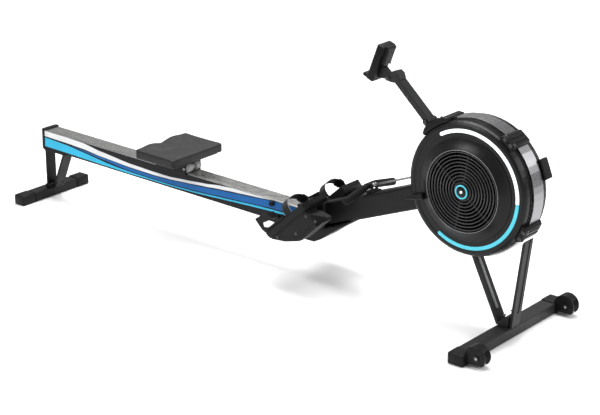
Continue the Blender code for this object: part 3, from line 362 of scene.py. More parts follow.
def add_prism(bm, outline, low, high, place=Matrix(), axis="Y"):
    """An outline pushed along one axis: XZ points along Y, or YZ points along X."""
    rows = []
    for depth in (low, high):
        flat = [(u, depth, w) if axis == "Y" else (depth, u, w) for u, w in outline]
        rows.append([bm.verts.new(place @ Vector(point)) for point in flat])
    bridge(bm, rows)


def add_lathe(bm, profile, place=HUB, steps=64, start=0.0, sweep=360.0):
    """A closed profile of (radius, y) points turned about Y, whole or as an arc with flat ends."""
    whole = sweep >= 360.0
    rows = []
    for step in range(steps if whole else steps + 1):
        angle = radians(start + sweep * step / steps)
        across, up = cos(angle), sin(angle)
        rows.append([bm.verts.new(place @ Vector((r * across, y, r * up))) for r, y in profile])
    bridge(bm, rows, whole)


def add_tube(bm, path, radius, sides=8, closed=False):
    """A round wire along a path of points; radius is one value, or one for each point."""
    rows = []
    count = len(path)
    for index, point in enumerate(path):
        before = path[index - 1] if index or closed else point
        after = path[(index + 1) % count] if index < count - 1 or closed else point
        along = (after - before).normalized()
        side = along.cross(Vector((0, 0, 1)) if abs(along.z) < 0.9 else Vector((0, 1, 0))).normalized()
        up = side.cross(along)
        size = radius[index] if isinstance(radius, list) else radius
        row = []
        for turn in range(sides):
            angle = 2 * pi * turn / sides
            row.append(bm.verts.new(point + size * (cos(angle) * side + sin(angle) * up)))
        rows.append(row)
    bridge(bm, rows, closed)


def add_bolt(bm, point, axis, radius, height=None):
    """A socket-head screw standing on a washer, with its hexagon recess."""
    height = height or radius * 0.9
    turn = Vector((0, -1, 0)).rotation_difference(Vector(axis).normalized()).to_matrix().to_4x4()
    washer, sunk = radius * 1.45, -height * 0.35
    profile = (
        (0.0001, 0.0), (washer, 0.0), (washer, -0.0009), (radius, -0.0012), (radius, -height * 0.85),
        (radius * 0.86, -height), (radius * 0.55, -height), (radius * 0.5, sunk), (0.0001, sunk),
    )
    add_lathe(bm, profile, Matrix.Translation(point) @ turn, 18)


def piece(name, bm, material, body, angle=38.0):
    """Turns a bmesh into an object that rides on a CAD body."""
    bmesh.ops.remove_doubles(bm, verts=bm.verts[:], dist=1e-6)
    bmesh.ops.recalc_face_normals(bm, faces=bm.faces[:])
    mesh = bpy.data.meshes.new(name)
    bm.to_mesh(mesh)
    bm.free()
    mesh.materials.append(material)
    shade_smooth(mesh, angle)
    obj = new_object(name, mesh)
    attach(obj, body)
    return obj


def make_bolts(name, body, bolts, material=dark_steel):
    """One piece of bolts, each given as (point, axis, radius) with or without a height."""
    bm = bmesh.new()
    for bolt in bolts:
        add_bolt(bm, *bolt)
    piece(name, bm, material, body)


def smooth_step(low, high, value):
    share = min(1.0, max(0.0, (value - low) / (high - low)))
    return share * share * (3 - 2 * share)


def turned(name, profile, steps, material, side=1):
    """A piece turned about the axle; side -1 mirrors its profile to the near side."""
    bm = bmesh.new()
    add_lathe(bm, [(radius, side * y) for radius, y in profile], HUB, steps)
    return piece(name, bm, material, "frame")


def eased(stops, value):
    """Smooth interpolation through (place, a, b, ...) stops."""
    if value <= stops[0][0]:
        return stops[0][1:]
    for first, second in zip(stops, stops[1:]):
        if value <= second[0]:
            even = (value - first[0]) / (second[0] - first[0])
            share = 0.35 * smooth_step(0.0, 1.0, even) + 0.65 * even
            return tuple(a + (b - a) * share for a, b in zip(first[1:], second[1:]))
    return stops[-1][1:]


# ---------------- camera, floor and light


def make_camera():
    data = bpy.data.cameras.new("camera")
    data.lens = 107.4
    data.sensor_width = 36.0
    data.clip_end = 100.0
    camera = new_object("camera", data)
    camera.location = (4.144, -4.834, 2.557)
    aim(camera, Vector((-0.5956, 0.7251, -0.3456)))
    bpy.context.scene.camera = camera


def make_floor():
    mesh = bpy.data.meshes.new("floor")
    reach = 14.0
    corners = [(-reach, -reach, 0), (reach, -reach, 0), (reach, reach, 0), (-reach, reach, 0)]
    mesh.from_pydata(corners, [], [(0, 1, 2, 3)])
    shader = Shader("floor_pale", 0.75)
    base = shader.ramp(shader.noise(0.7, 3.0), (0.3, (0.9, 0.9, 0.9)), (0.7, (0.93, 0.93, 0.93)))
    mesh.materials.append(shader.done(base, None, shader.bump(shader.noise(300.0, 2.0), 0.05, 0.0002)))
    new_object("floor", mesh)


def make_light(name, place, target, size, power):
    data = bpy.data.lights.new(name, "AREA")
    data.shape = "RECTANGLE"
    data.size, data.size_y = size
    data.energy = power
    light = new_object(name, data)
    light.location = place
    aim(light, Vector(target) - Vector(place))


def make_studio():
    world = bpy.data.worlds.new("studio")
    bpy.context.scene.world = world
    world.use_nodes = True
    background = world.node_tree.nodes["Background"]
    background.inputs["Color"].default_value = (1.0, 1.0, 1.0, 1.0)
    background.inputs["Strength"].default_value = 0.45
    make_light("key", (-1.6, -3.4, 4.2), (0.1, 0.0, 0.3), (2.6, 2.0), 150.0)
    make_light("fill", (4.6, 0.6, 2.6), (0.6, 0.0, 0.4), (2.2, 2.2), 80.0)
    make_light("top", (0.0, 0.6, 4.4), (0.0, 0.0, 0.3), (4.5, 1.6), 215.0)
    make_light("backdrop", (-2.8, 4.2, 6.4), (-2.8, 4.2, 0.0), (3.2, 3.2), 190.0)
    make_light("rim", (2.9, 2.3, 1.75), (0.95, 0.0, 0.6), (1.3, 1.0), 13.0)
    bpy.context.scene.view_settings.view_transform = "Standard"


# ---------------- rail and its printed sides

# Each stop is (x, top edge, bottom edge); the edges are shares of the rail's height, from its top.
WHITE_BAND = (
    (-1.17, 0.06, 0.33), (-1.04, 0.06, 0.355), (-0.944, 0.085, 0.39), (-0.84, 0.25, 0.5),
    (-0.675, 0.41, 0.59), (-0.545, 0.45, 0.61), (-0.455, 0.45, 0.57), (-0.39, 0.38, 0.51),
    (-0.27, 0.25, 0.39), (-0.197, 0.125, 0.3), (-0.124, 0.06, 0.23), (-0.0085, 0.058, 0.135),
    (0.057, 0.055, 0.065),
)
CYAN_BAND = (
    (-1.17, 0.405, 0.86), (-1.035, 0.465, 0.87), (-0.946, 0.573, 0.89), (-0.876, 0.662, 0.9),
    (-0.807, 0.75, 0.91), (-0.738, 0.805, 0.92), (-0.675, 0.835, 0.925), (-0.575, 0.845, 0.905),
    (-0.451, 0.845, 0.9), (-0.33, 0.8, 0.865), (-0.245, 0.74, 0.81), (-0.182, 0.685, 0.76),
    (-0.094, 0.615, 0.7), (-0.008, 0.545, 0.64), (0.064, 0.505, 0.6), (0.195, 0.48, 0.575),
)
BLUE_BAND = (
    (-1.006, 0.435, 0.445), (-0.842, 0.525, 0.62), (-0.675, 0.624, 0.79), (-0.575, 0.655, 0.8),
    (-0.52, 0.65, 0.8), (-0.45, 0.605, 0.795), (-0.39, 0.555, 0.775), (-0.33, 0.5, 0.75),
    (-0.245, 0.42, 0.69), (-0.182, 0.345, 0.63), (-0.094, 0.27, 0.565), (-0.008, 0.185, 0.5),
    (0.057, 0.11, 0.45), (0.115, 0.068, 0.42), (0.195, 0.058, 0.4),
)
BACKING = ((-1.1725, 0.055, 0.985), (0.195, 0.055, 0.985))


def add_band(bm, stops, side, base, proud):
    """A thin film on the rail's side between two curved edges, both given from its top."""
    steps = 150
    start, end = stops[0][0], stops[-1][0]
    rows = []
    for step in range(steps + 1):
        x = start + (end - start) * step / steps
        top, bottom = eased(stops, x)
        along = (x - RAIL_REAR.x) / cos(RAIL_TILT)
        row = []
        for depth, share in ((base, top), (proud, top), (proud, bottom), (base, bottom)):
            point = Vector((along, side * (RAIL_HALF + depth), -share * RAIL_HEIGHT))
            row.append(bm.verts.new(RAIL @ point))
        rows.append(row)
    bridge(bm, rows)


def make_rail_print():
    for side_name, side in SIDES:
        for name, stops, material, base, proud in (
            ("rail_film", BACKING, film_black, 0.00002, 0.00012),
            ("rail_white", WHITE_BAND, print_white, 0.00013, 0.00022),
            ("rail_cyan", CYAN_BAND, print_cyan, 0.00013, 0.00022),
            ("rail_blue", BLUE_BAND, print_blue, 0.00013, 0.00022),
        ):
            bm = bmesh.new()
            add_band(bm, stops, side, base, proud)
            piece(f"{name}_{side_name}", bm, material, "frame")


def make_rail_fittings():
    """The end cap's collar and screws, and the bolts of the housing that grips the rail."""
    rear, half, lip = -0.004, 0.0385, 0.0044
    bm = bmesh.new()
    add_block(bm, (rear, -half, 0.0003), (0.016, half, lip), RAIL, 0.001)
    for _, side in SIDES:
        y_low, y_high = sorted((side * 0.0362, side * half))
        add_block(bm, (rear, y_low, -0.0835), (0.006, y_high, lip), RAIL, 0.0008)
    piece("rail_cap_collar", bm, plastic, "frame")
    make_bolts("rail_cap_screws", "frame", [
        (RAIL @ Vector((-0.0101, across, height)), (-1, 0, 0), 0.0028, 0.0018)
        for across in (-0.024, 0.024) for height in (-0.016, -0.068)
    ])
    make_bolts("housing_bolts", "frame", [
        ((x, side * 0.0461, z), (0, side, 0), 0.0052)
        for _, side in SIDES
        for x, z in ((0.212, 0.205), (0.276, 0.199), (0.212, 0.262), (0.276, 0.262))
    ])


# ---------------- seat

SEAT_X = -0.439


def seat_height(u, v):
    """How far the cushion's top lies above its plain level; u runs to the front, v across."""
    cheeks = exp(-((abs(v) - 0.47) / 0.26) ** 2)
    inside = (1 - smooth_step(0.8, 0.99, abs(v))) * (1 - smooth_step(0.72, 0.98, u))
    rear = 0.0048 * smooth_step(0.25, 0.92, -u) * cheeks
    valley = -0.005 * exp(-((v / 0.17) ** 2)) * smooth_step(-0.7, 0.9, -u)
    dish = -0.0062 * exp(-((u - 0.02) / 0.55) ** 2) * (0.35 + 0.65 * cheeks) * inside
    sag = -0.0012 * (1 - u * u)
    nose = -0.0022 * smooth_step(0.8, 1.0, u)
    return rear + valley + dish + sag + nose


def round_corner(x, y, half_x, half_y, radius):
    """Moves a point of a plain rectangle so that the rectangle's corners become round."""
    over_x, over_y = abs(x) - (half_x - radius), abs(y) - (half_y - radius)
    if over_x <= 0 or over_y <= 0:
        return x, y
    share = max(over_x, over_y) / hypot(over_x, over_y)
    return (
        copysign(half_x - radius + over_x * share, x),
        copysign(half_y - radius + over_y * share, y),
    )


def crowded(index, count):
    """Places from -1 to 1 that crowd towards both ends, where the cushion turns down."""
    bend = 1.42
    return sin((2 * index / count - 1) * bend) / 0.98865


def seat_solid(low, high, inset):
    """The cushion's closed form: rounded corners, straight sides, a dished top."""
    bm = bmesh.new()
    across, along = 46, 34
    centre = (low + high) / 2
    bottom = -0.0178
    top = 0.0176 - inset
    layers = (
        (bottom, 0.0026), (bottom + 0.0012, 0.0006), (bottom + 0.004, 0.0),
        (top - 0.006, 0.0), (top - 0.0016, 0.0006), (top, 0.0024),
    )
    grids = []
    for level, pull in layers:
        half_x = (high.x - low.x) / 2 - inset - pull - 0.0003
        half_y = (high.y - low.y) / 2 - inset - pull
        grid = []
        for i in range(along + 1):
            row = []
            for j in range(across + 1):
                u, v = crowded(i, along), crowded(j, across)
                x, y = round_corner(u * half_x, v * half_y, half_x, half_y, 0.011 - pull)
                lift = level - x * tan(RAIL_TILT)
                if level > 0:
                    lift += seat_height(u, v)
                row.append(bm.verts.new((centre.x + x, centre.y + y, centre.z + lift)))
            grid.append(row)
        grids.append(grid)
    for grid, flip in ((grids[0], True), (grids[-1], False)):
        for i in range(along):
            for j in range(across):
                quad = [grid[i][j], grid[i + 1][j], grid[i + 1][j + 1], grid[i][j + 1]]
                bm.faces.new(quad[::-1] if flip else quad)
    rim = [(i, 0) for i in range(along)] + [(along, j) for j in range(across)]
    rim += [(i, across) for i in range(along, 0, -1)] + [(0, j) for j in range(across, 0, -1)]
    for lower, upper in zip(grids, grids[1:]):
        for index, (i, j) in enumerate(rim):
            m, n = rim[(index + 1) % len(rim)]
            bm.faces.new((lower[i][j], lower[m][n], upper[m][n], upper[i][j]))
    loose = [vert for vert in bm.verts if not vert.link_faces]
    bmesh.ops.delete(bm, geom=loose, context="VERTS")
    return bm


def apply_modifiers(obj):
    graph = bpy.context.evaluated_depsgraph_get()
    mesh = bpy.data.meshes.new_from_object(obj.evaluated_get(graph))
    obj.modifiers.clear()
    obj.data = mesh


def inflate(obj, low, most):
    """Puffs the cushion's top with a pressure cloth, each point staying within most of its start."""
    start = [vert.co.copy() for vert in obj.data.vertices]
    held = obj.vertex_groups.new(name="held")
    held.add([i for i, point in enumerate(start) if point.z < low.z + 0.03], 1.0, "REPLACE")
    cloth = obj.modifiers.new("cloth", "CLOTH")
    settings = cloth.settings
    settings.quality = 5
    settings.mass = 0.4
    settings.tension_stiffness = settings.compression_stiffness = 22
    settings.bending_stiffness = 2.5
    settings.use_pressure = True
    settings.uniform_pressure_force = 4.0
    settings.effector_weights.gravity = 0.0
    settings.vertex_group_mass = "held"
    scene = bpy.context.scene
    for step in range(1, 19):
        scene.frame_set(step)
    graph = bpy.context.evaluated_depsgraph_get()
    moved = [vert.co.copy() for vert in obj.evaluated_get(graph).data.vertices]
    obj.modifiers.clear()
    for vert, before, after in zip(obj.data.vertices, start, moved):
        shift = after - before
        if shift.length > most:
            shift *= most / shift.length
        vert.co = before + shift
    scene.frame_set(1)


def make_seat():
    """The puffed cushion, its seam, and the carriage's bolts."""
    low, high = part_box("seat_pad")
    inset = 0.0014
    cushion = piece("seat_cushion", seat_solid(low, high, inset), cover, "seat", 60.0)
    inflate(cushion, low, 0.003)
    rounder = cushion.modifiers.new("rounder", "SUBSURF")
    rounder.levels = rounder.render_levels = 1
    apply_modifiers(cushion)
    shade_smooth(cushion.data)
    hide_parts("seat_pad")

    bm = bmesh.new()
    centre = (low + high) / 2
    half_x, half_y = (high.x - low.x) / 2 - 0.0022, (high.y - low.y) / 2 - 0.002
    path = []
    for turn in range(160):
        angle = 2 * pi * (turn + 0.5) / 160
        reach = max(abs(cos(angle)), abs(sin(angle)))
        u, v = cos(angle) / reach, sin(angle) / reach
        x, y = round_corner(u * half_x, v * half_y, half_x, half_y, 0.01)
        near = centre + Vector((x, y, 0.015 - x * tan(RAIL_TILT) + seat_height(u, v)))
        path.append(cushion.closest_point_on_mesh(near)[1])
    add_tube(bm, path, 0.00085, 6, True)
    piece("seat_seam", bm, rubber, "seat", 60.0)

    along = (SEAT_X - RAIL_REAR.x) / cos(RAIL_TILT)
    outer = RAIL_HALF + 0.0086
    make_bolts("seat_cheek_bolts", "seat", [
        (RAIL @ Vector((along + x, side * outer, 0.0155)), (0, side, 0), 0.0042, 0.003)
        for _, side in SIDES for x in (-0.076, 0.064)
    ])
    bolts = []
    for _, side in SIDES:
        for x in (-0.05, 0.05):
            underside = low.z - 0.0052 - (0.1025 + x) * tan(RAIL_TILT)
            point = (SEAT_X + x, side * 0.085, underside)
            bolts.append((point, (0, 0, -1), 0.0045, 0.003))
    make_bolts("seat_pan_bolts", "seat", bolts)


# ---------------- footboards and straps

STRAP_MIDDLE = 0.1082
STRAP_LOW, STRAP_HIGH = 0.1522, 0.1878

# Each entry is (share of the strap's width, share of its thickness).
STRAP_SECTION = (
    (0.0, 0.35), (0.015, 0.95), (0.05, 1.12), (0.12, 0.92), (0.5, 0.86),
    (0.88, 0.92), (0.95, 1.12), (0.985, 0.95), (1.0, 0.35),
)


def strap_path(side, count=44):
    """The strap's middle line across the board, as (y, height) points."""
    middle = side * STRAP_MIDDLE
    half = 0.0571
    path = []
    for step in range(count + 1):
        angle = pi * step / count
        lift = 0.013 + 0.0428 * max(0.0, sin(angle)) ** 0.8
        path.append((middle + half * cos(angle), lift))
    ends = [[(middle + sign * half, height) for height in (0.0012, 0.007)] for sign in (1, -1)]
    return ends[0] + path + ends[1][::-1]


def add_strap(bm, path, low, high, thick):
    """A flat band with rounded, slightly thicker edges along a (y, height) path."""
    upper = [(low + (high - low) * share, swell * thick / 2) for share, swell in STRAP_SECTION]
    loop = upper + [(a, -lift) for a, lift in upper[::-1]]
    rows = []
    for index, (y, lift) in enumerate(path):
        before = path[max(0, index - 1)]
        after = path[min(len(path) - 1, index + 1)]
        along = Vector((after[0] - before[0], after[1] - before[1])).normalized()
        row = []
        for a, offset in loop:
            point = Vector((a, y - along.y * offset, lift + along.x * offset))
            row.append(bm.verts.new(BOARD @ point))
        rows.append(row)
    bridge(bm, rows)


def make_straps():
    """On each board a strap with its doubled tail, the thread along its edges and a slide buckle."""
    for side_name, side in SIDES:
        path = strap_path(side)
        bm = bmesh.new()
        add_strap(bm, path, STRAP_LOW, STRAP_HIGH, 0.0027)
        strap = piece(f"foot_webbing_{side_name}", bm, web, "frame")
        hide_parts(f"foot_strap_{side_name}")

        bm = bmesh.new()
        middle = side * STRAP_MIDDLE
        tail = [(middle + (y - middle) * 1.035, lift + 0.0018) for y, lift in path[8:24]]
        add_strap(bm, tail, STRAP_LOW + 0.0023, STRAP_HIGH - 0.0023, 0.0022)
        piece(f"strap_tail_{side_name}", bm, web, "frame")

        bm = bmesh.new()
        for edge in (STRAP_LOW, STRAP_HIGH):
            add_tube(bm, [BOARD @ Vector((edge, y, lift)) for y, lift in path], 0.0009, 6)
        piece(f"strap_thread_{side_name}", bm, highlight_and_thread_grey, "frame")

        bm = bmesh.new()
        y, lift = path[9]
        lean = atan2(path[10][1] - path[8][1], path[10][0] - path[8][0])
        place = BOARD @ Matrix.Translation((0.17, y, lift)) @ Matrix.Rotation(lean, 4, "X")
        for a in (-0.0208, 0.0188):
            add_block(bm, (a, -0.011, -0.0022), (a + 0.002, 0.011, 0.0058), place, 0.0007)
        for across in (-0.0095, 0.0, 0.009):
            low, high = (-0.0205, across - 0.0012, 0.0036), (0.0205, across + 0.0012, 0.0062)
            add_block(bm, low, high, place, 0.0006)
        piece(f"strap_buckle_{side_name}", bm, plastic, "frame")


def make_board_details():
    """Ribs on the soles, and screws and ridges on the boards' outer sides."""
    inner, outer, pitch, width = 0.056, 0.16, 0.0095, 0.0042
    ribs = [(0.078 + index * pitch, outer) for index in range(9)]
    ribs += [(0.2 + index * pitch, outer - max(0.0, index - 1) * 0.01) for index in range(5)]
    ridges = (
        ((0.034, -0.03), (0.236, -0.03), (0.236, -0.0325), (0.034, -0.0325)),
        (
            (0.05, -0.0405), (0.15, -0.0885), (0.262, -0.0885),
            (0.262, -0.086), (0.1515, -0.086), (0.052, -0.0385),
        ),
    )
    for side_name, side in SIDES:
        bm = bmesh.new()
        for a, reach in ribs:
            y_low, y_high = sorted((side * inner, side * reach))
            add_block(bm, (a, y_low, 0.0001), (a + width, y_high, 0.0016), BOARD, 0.0006)
        piece(f"sole_ribs_{side_name}", bm, rubber, "frame")
        make_bolts(f"board_screws_{side_name}", "frame", [
            (BOARD @ Vector((a, side * 0.1661, height)), (0, side, 0), 0.004, 0.0026)
            for a, height in ((0.06, -0.04), (0.15, -0.072), (0.236, -0.046), (0.262, -0.082))
        ])
        bm = bmesh.new()
        y_low, y_high = sorted((side * 0.1662, side * 0.1674))
        for outline in ridges:
            add_prism(bm, outline, y_low, y_high, BOARD)
        piece(f"board_ridges_{side_name}", bm, plastic, "frame")


# ---------------- chain and handle


def add_link(bm, start, pitch, y_low, y_high):
    """One waisted link plate along the beam's frame."""
    radius, waist = 0.0039, 0.0026
    outline = []
    for centre, first, bend in ((start, 0.5, -waist), (start + pitch, -0.5, waist)):
        for turn in range(9):
            angle = pi * (first + turn / 8)
            outline.append((centre + radius * cos(angle), CHAIN_OFFSET + radius * sin(angle)))
        outline.append((start + pitch / 2, CHAIN_OFFSET + bend))
    add_prism(bm, outline, y_low, y_high, BEAM)


def make_chain():
    """The roller chain and the eye that ties it to the handle."""
    start, end = -0.43, 0.1838
    count = 48
    pitch = (end - start) / count
    roller = rod(0.0036, -0.0013, 0.0013)
    bm = bmesh.new()
    for index in range(count):
        low, high = (0.0014, 0.0024) if index % 2 else (0.0026, 0.0035)
        for sign in (1, -1):
            add_link(bm, start + index * pitch, pitch, *sorted((sign * low, sign * high)))
        add_lathe(bm, roller, BEAM @ Matrix.Translation((start + index * pitch, 0, CHAIN_OFFSET)), 10)
    chain = piece("roller_chain", bm, chain_steel, "handle", 30.0)
    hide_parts("chain")

    bm = bmesh.new()
    middle, radius = HANDLE_ALONG + 0.028, 0.005
    eye = []
    for turn in range(20):
        angle = 2 * pi * turn / 20
        point = (middle + radius * cos(angle), 0.0, CHAIN_OFFSET + radius * sin(angle))
        eye.append(BEAM @ Vector(point))
    add_tube(bm, eye, 0.0017, 8, True)
    knot = BEAM @ Matrix.Translation((HANDLE_ALONG, 0, CHAIN_OFFSET))
    barrel = (
        (0.0001, -0.013), (0.0062, -0.013), (0.007, -0.014),
        (0.007, -0.0215), (0.005, -0.0235), (0.0001, -0.0235),
    )
    add_lathe(bm, barrel, knot @ Matrix.Rotation(QUARTER, 4, "Z"), 20)
    swivel = piece("chain_eye", bm, steel, "handle")
    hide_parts("chain_swivel")


def handle_point(across):
    centre = BEAM @ Vector((HANDLE_ALONG, 0, CHAIN_OFFSET))
    return centre + Vector((0.0, across, -HANDLE_DROOP * max(0.0, abs(across) - 0.02)))


def make_grips():
    """The foam grips, with soft ripples and rounded ends."""
    for side_name, side in SIDES:
        bm = bmesh.new()
        start, end = handle_point(side * 0.0325), handle_point(side * 0.1448)
        path, radii = [], []
        count = 76
        for step in range(count + 1):
            share = step / count
            radius = 0.0137 + 0.0007 * abs(sin(share * pi * 19)) ** 0.6
            radius -= 0.003 * (1 - smooth_step(0.0, 0.02, share))
            path.append(start.lerp(end, share))
            radii.append(radius - 0.0035 * smooth_step(0.97, 1.0, share))
        add_tube(bm, path, radii, 24)
        grip = piece(f"grip_{side_name}", bm, foam, "handle", 60.0)
        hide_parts(f"handle_grip_{side_name}")


# ---------------- flywheel casing


def make_grille(name, side, node):
    """A bezel that slopes up to a flat cage of fine rings, crossed by two thin bars."""
    bezel = (
        (0.1842, 0.0704), (0.1836, 0.0722), (0.1815, 0.0734), (0.178, 0.0742), (0.1735, 0.0752),
        (0.15, 0.0908), (0.1478, 0.0926), (0.145, 0.0934), (0.1425, 0.0926), (0.142, 0.089),
        (0.1455, 0.088), (0.169, 0.0727), (0.171, 0.0704),
    )
    ring = turned(f"{name}_bezel", bezel, 96, shell, side)
    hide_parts(node)

    # Painted highlight: a pale grey ring stands for the bright highlight along the cage's lip.
    bm = bmesh.new()
    lip = [rim_point(360 * step / 96, 0.1452, side * 0.0937) for step in range(96)]
    add_tube(bm, lip, 0.00085, 6, True)
    piece(f"{name}_lip", bm, highlight_and_thread_grey, "frame")

    bm = bmesh.new()
    inner, outer, count = 0.0315, 0.1375, 10
    section = (
        (-0.0024, 0.0), (-0.001, 0.0016), (0.001, 0.0016),
        (0.0024, 0.0), (0.0018, -0.003), (-0.0018, -0.003),
    )
    for index in range(count):
        radius = inner + (outer - inner) * index / (count - 1)
        add_lathe(bm, [(radius + r, side * (0.0905 + y)) for r, y in section], HUB, 80)
    piece(f"{name}_rings", bm, wire, "frame")

    bm = bmesh.new()
    y_low, y_high = sorted((side * 0.0902, side * 0.0928))
    for turn in (80.5, 142.0):
        place = HUB @ Matrix.Rotation(-radians(turn), 4, "Y")
        for end in (1, -1):
            low, high = sorted((end * 0.026, end * 0.1428))
            add_block(bm, (low, y_low, -0.001), (high, y_high, 0.001), place, 0.0005, 1)
    piece(f"{name}_bars", bm, wire, "frame")

    boss = (
        (0.0145, 0.087), (0.029, 0.087), (0.03, 0.089),
        (0.03, 0.092), (0.0285, 0.093), (0.0145, 0.093),
    )
    turned(f"{name}_boss", boss, 48, plastic, side)


def make_hub():
    """A black dome, a cyan ring round it and a small plain light in its middle."""
    cap = turned("hub_dome", (
        (0.0001, -0.0932), (0.0275, -0.0932), (0.0275, -0.0962), (0.0262, -0.0975), (0.0254, -0.0975),
        (0.0254, -0.096), (0.0196, -0.096), (0.0196, -0.0978), (0.0185, -0.0984), (0.0056, -0.0995),
        (0.0052, -0.0985), (0.0001, -0.0985),
    ), 56, shell)
    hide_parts("hub_cap")
    turned("hub_ring", (
        (0.0198, -0.0961), (0.0252, -0.0961), (0.0252, -0.098),
        (0.024, -0.099), (0.021, -0.099), (0.0198, -0.098),
    ), 56, light_cyan)
    turned("hub_light", (
        (0.0001, -0.0986), (0.0049, -0.0986), (0.0045, -0.1), (0.0025, -0.1006), (0.0001, -0.1007),
    ), 32, light_white)


def make_lights():
    """The C-shaped light: two flat lenses with round outer ends, meeting in a thin joint."""
    inner, outer = 0.2006, 0.2134
    middle, half = (inner + outer) / 2, (outer - inner) / 2
    steps = 60
    for name, node, start, end, material in (
        ("lens_upper", "light_arc_upper", -1.5, 122.6, light_white),
        ("lens_lower", "light_arc_lower", -1.8, -121.5, light_cyan),
    ):
        direction = copysign(1.0, end)
        stop = end - direction * degrees(half / middle)
        turns = [radians(start + (stop - start) * step / steps) for step in range(steps + 1)]
        radial = Vector((cos(turns[-1]), sin(turns[-1])))
        forward = Vector((-radial.y, radial.x)) * direction
        outline = [(outer * cos(turn), outer * sin(turn)) for turn in turns]
        for step in range(1, 12):
            turn = pi * step / 12
            point = radial * (middle + half * cos(turn)) + forward * half * sin(turn)
            outline.append((point.x, point.y))
        outline += [(inner * cos(turn), inner * sin(turn)) for turn in turns[::-1]]
        bm = bmesh.new()
        add_prism(bm, outline, -0.0712, -0.0689, HUB)
        front = [edge for edge in bm.edges if all(vert.co.y < -0.07 for vert in edge.verts)]
        bmesh.ops.bevel(bm, geom=front, offset=0.0007, segments=2, affect="EDGES", profile=0.5)
        lens = piece(name, bm, material, "frame")
        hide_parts(node)


def rim_point(angle, radius, y):
    turn = radians(angle)
    return AXLE + Vector((radius * cos(turn), y, radius * sin(turn)))


def make_saddle(node, middle, reach):
    """A strap round the band that thins towards its ends, in the place of a CAD clamp."""
    shoulder, inner, step_y = RIM_RADIUS + 0.0004, BAND_RADIUS + 0.0004, 0.0312
    near, far = -0.064, 0.04
    steps = 28
    bm = bmesh.new()
    rows = []
    for step in range(steps + 1):
        share = 2 * step / steps - 1
        outer = inner + 0.0123 * (1 - 0.62 * smooth_step(0.7, 1.0, abs(share)))
        section = (
            (shoulder, near), (outer - 0.005, near), (outer - 0.0015, near + 0.0012),
            (outer, near + 0.0045), (outer, far - 0.0045), (outer - 0.0015, far - 0.0012),
            (outer - 0.005, far), (shoulder, far), (shoulder, step_y), (inner, step_y),
            (inner, -step_y), (shoulder, -step_y),
        )
        turn = middle + reach * share
        rows.append([bm.verts.new(rim_point(turn, radius, y)) for radius, y in section])
    bridge(bm, rows)
    if node == "clamp_arm":
        hinge = ARM @ Matrix.Translation((ARM_HINGE, 0, 0))
        for _, side in SIDES:
            y_low, y_high = sorted((side * 0.0214, side * 0.0279))
            add_block(bm, (ARM_HINGE, y_low, -0.0115), (0.214, y_high, 0.0115), ARM, 0.0012)
            add_lathe(bm, rod(0.0116, y_low + 0.0001, y_high - 0.0001), hinge, 28)
        add_lathe(bm, rod(0.0045, -0.03, 0.03), hinge, 20)
    saddle = piece(f"{node}_saddle", bm, plastic, "frame")
    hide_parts(node)


def make_rim_details():
    """Seams on the shells, ribs on two clamps, and the bolts of the clamps and the casing."""
    bm = bmesh.new()
    seam = ((0.0002, 0.0335), (0.002, 0.034), (0.0024, 0.036), (0.002, 0.0378), (0.0002, 0.0384))
    for _, side in SIDES:
        for start, sweep in ((-19.4, 64.0), (59.6, 51.4), (140.0, 185.6)):
            section = [(RIM_RADIUS + proud, side * y) for proud, y in seam]
            add_lathe(bm, section, HUB, max(8, int(sweep / 3)), start, sweep)
    piece("rim_seams", bm, shell, "frame")

    clamps = [(middle, CLAMP_REACH) for middle in CLAMP_TURNS] + [(119.5, 2.8)]
    points = [
        rim_point(middle + share * reach, BAND_RADIUS + 0.0129, -0.052)
        for middle, reach in clamps for share in (-0.62, 0.62)
    ]
    make_bolts("clamp_top_bolts", "frame", [
        (point, (point.x - AXLE.x, 0, point.z - AXLE.z), 0.0042, 0.0034) for point in points
    ])
    bolts = [
        (rim_point(middle + offset, BAND_RADIUS + 0.0062, -0.0641), (0, -1, 0), 0.0048, 0.0042)
        for middle in CLAMP_TURNS for offset in (3.2, -3.2)
    ]
    bolts += [
        (rim_point(turn, 0.2232, 0.0701), (0, 1, 0), 0.0038, 0.0026)
        for turn in (-60, -118, -160, 165, 28, 88)
    ]
    make_bolts("casing_side_bolts", "frame", bolts)

    bm = bmesh.new()
    rib = ((0.0128, -0.058), (0.0148, -0.0555), (0.0148, 0.03), (0.0128, 0.0335))
    for middle in CLAMP_TURNS:
        for start in (-2.8, 1.0):
            add_lathe(bm, [(BAND_RADIUS + proud, y) for proud, y in rib], HUB, 3, middle + start, 1.8)
    piece("clamp_ribs", bm, paint, "frame")


# ---------------- monitor and arm


def add_digit(bm, place, width, height):
    """A plain zero of six thin bars."""
    thick = 0.0012
    bars = [(0, height, width, thick), (0, 0, width, thick)]
    bars += [(across, up, thick, height / 2) for up in (height / 2, 0) for across in (0, width)]
    for across, up, run, rise in bars:
        add_block(bm, (-0.00018, across, up), (-0.00002, across + run, up + rise), place)


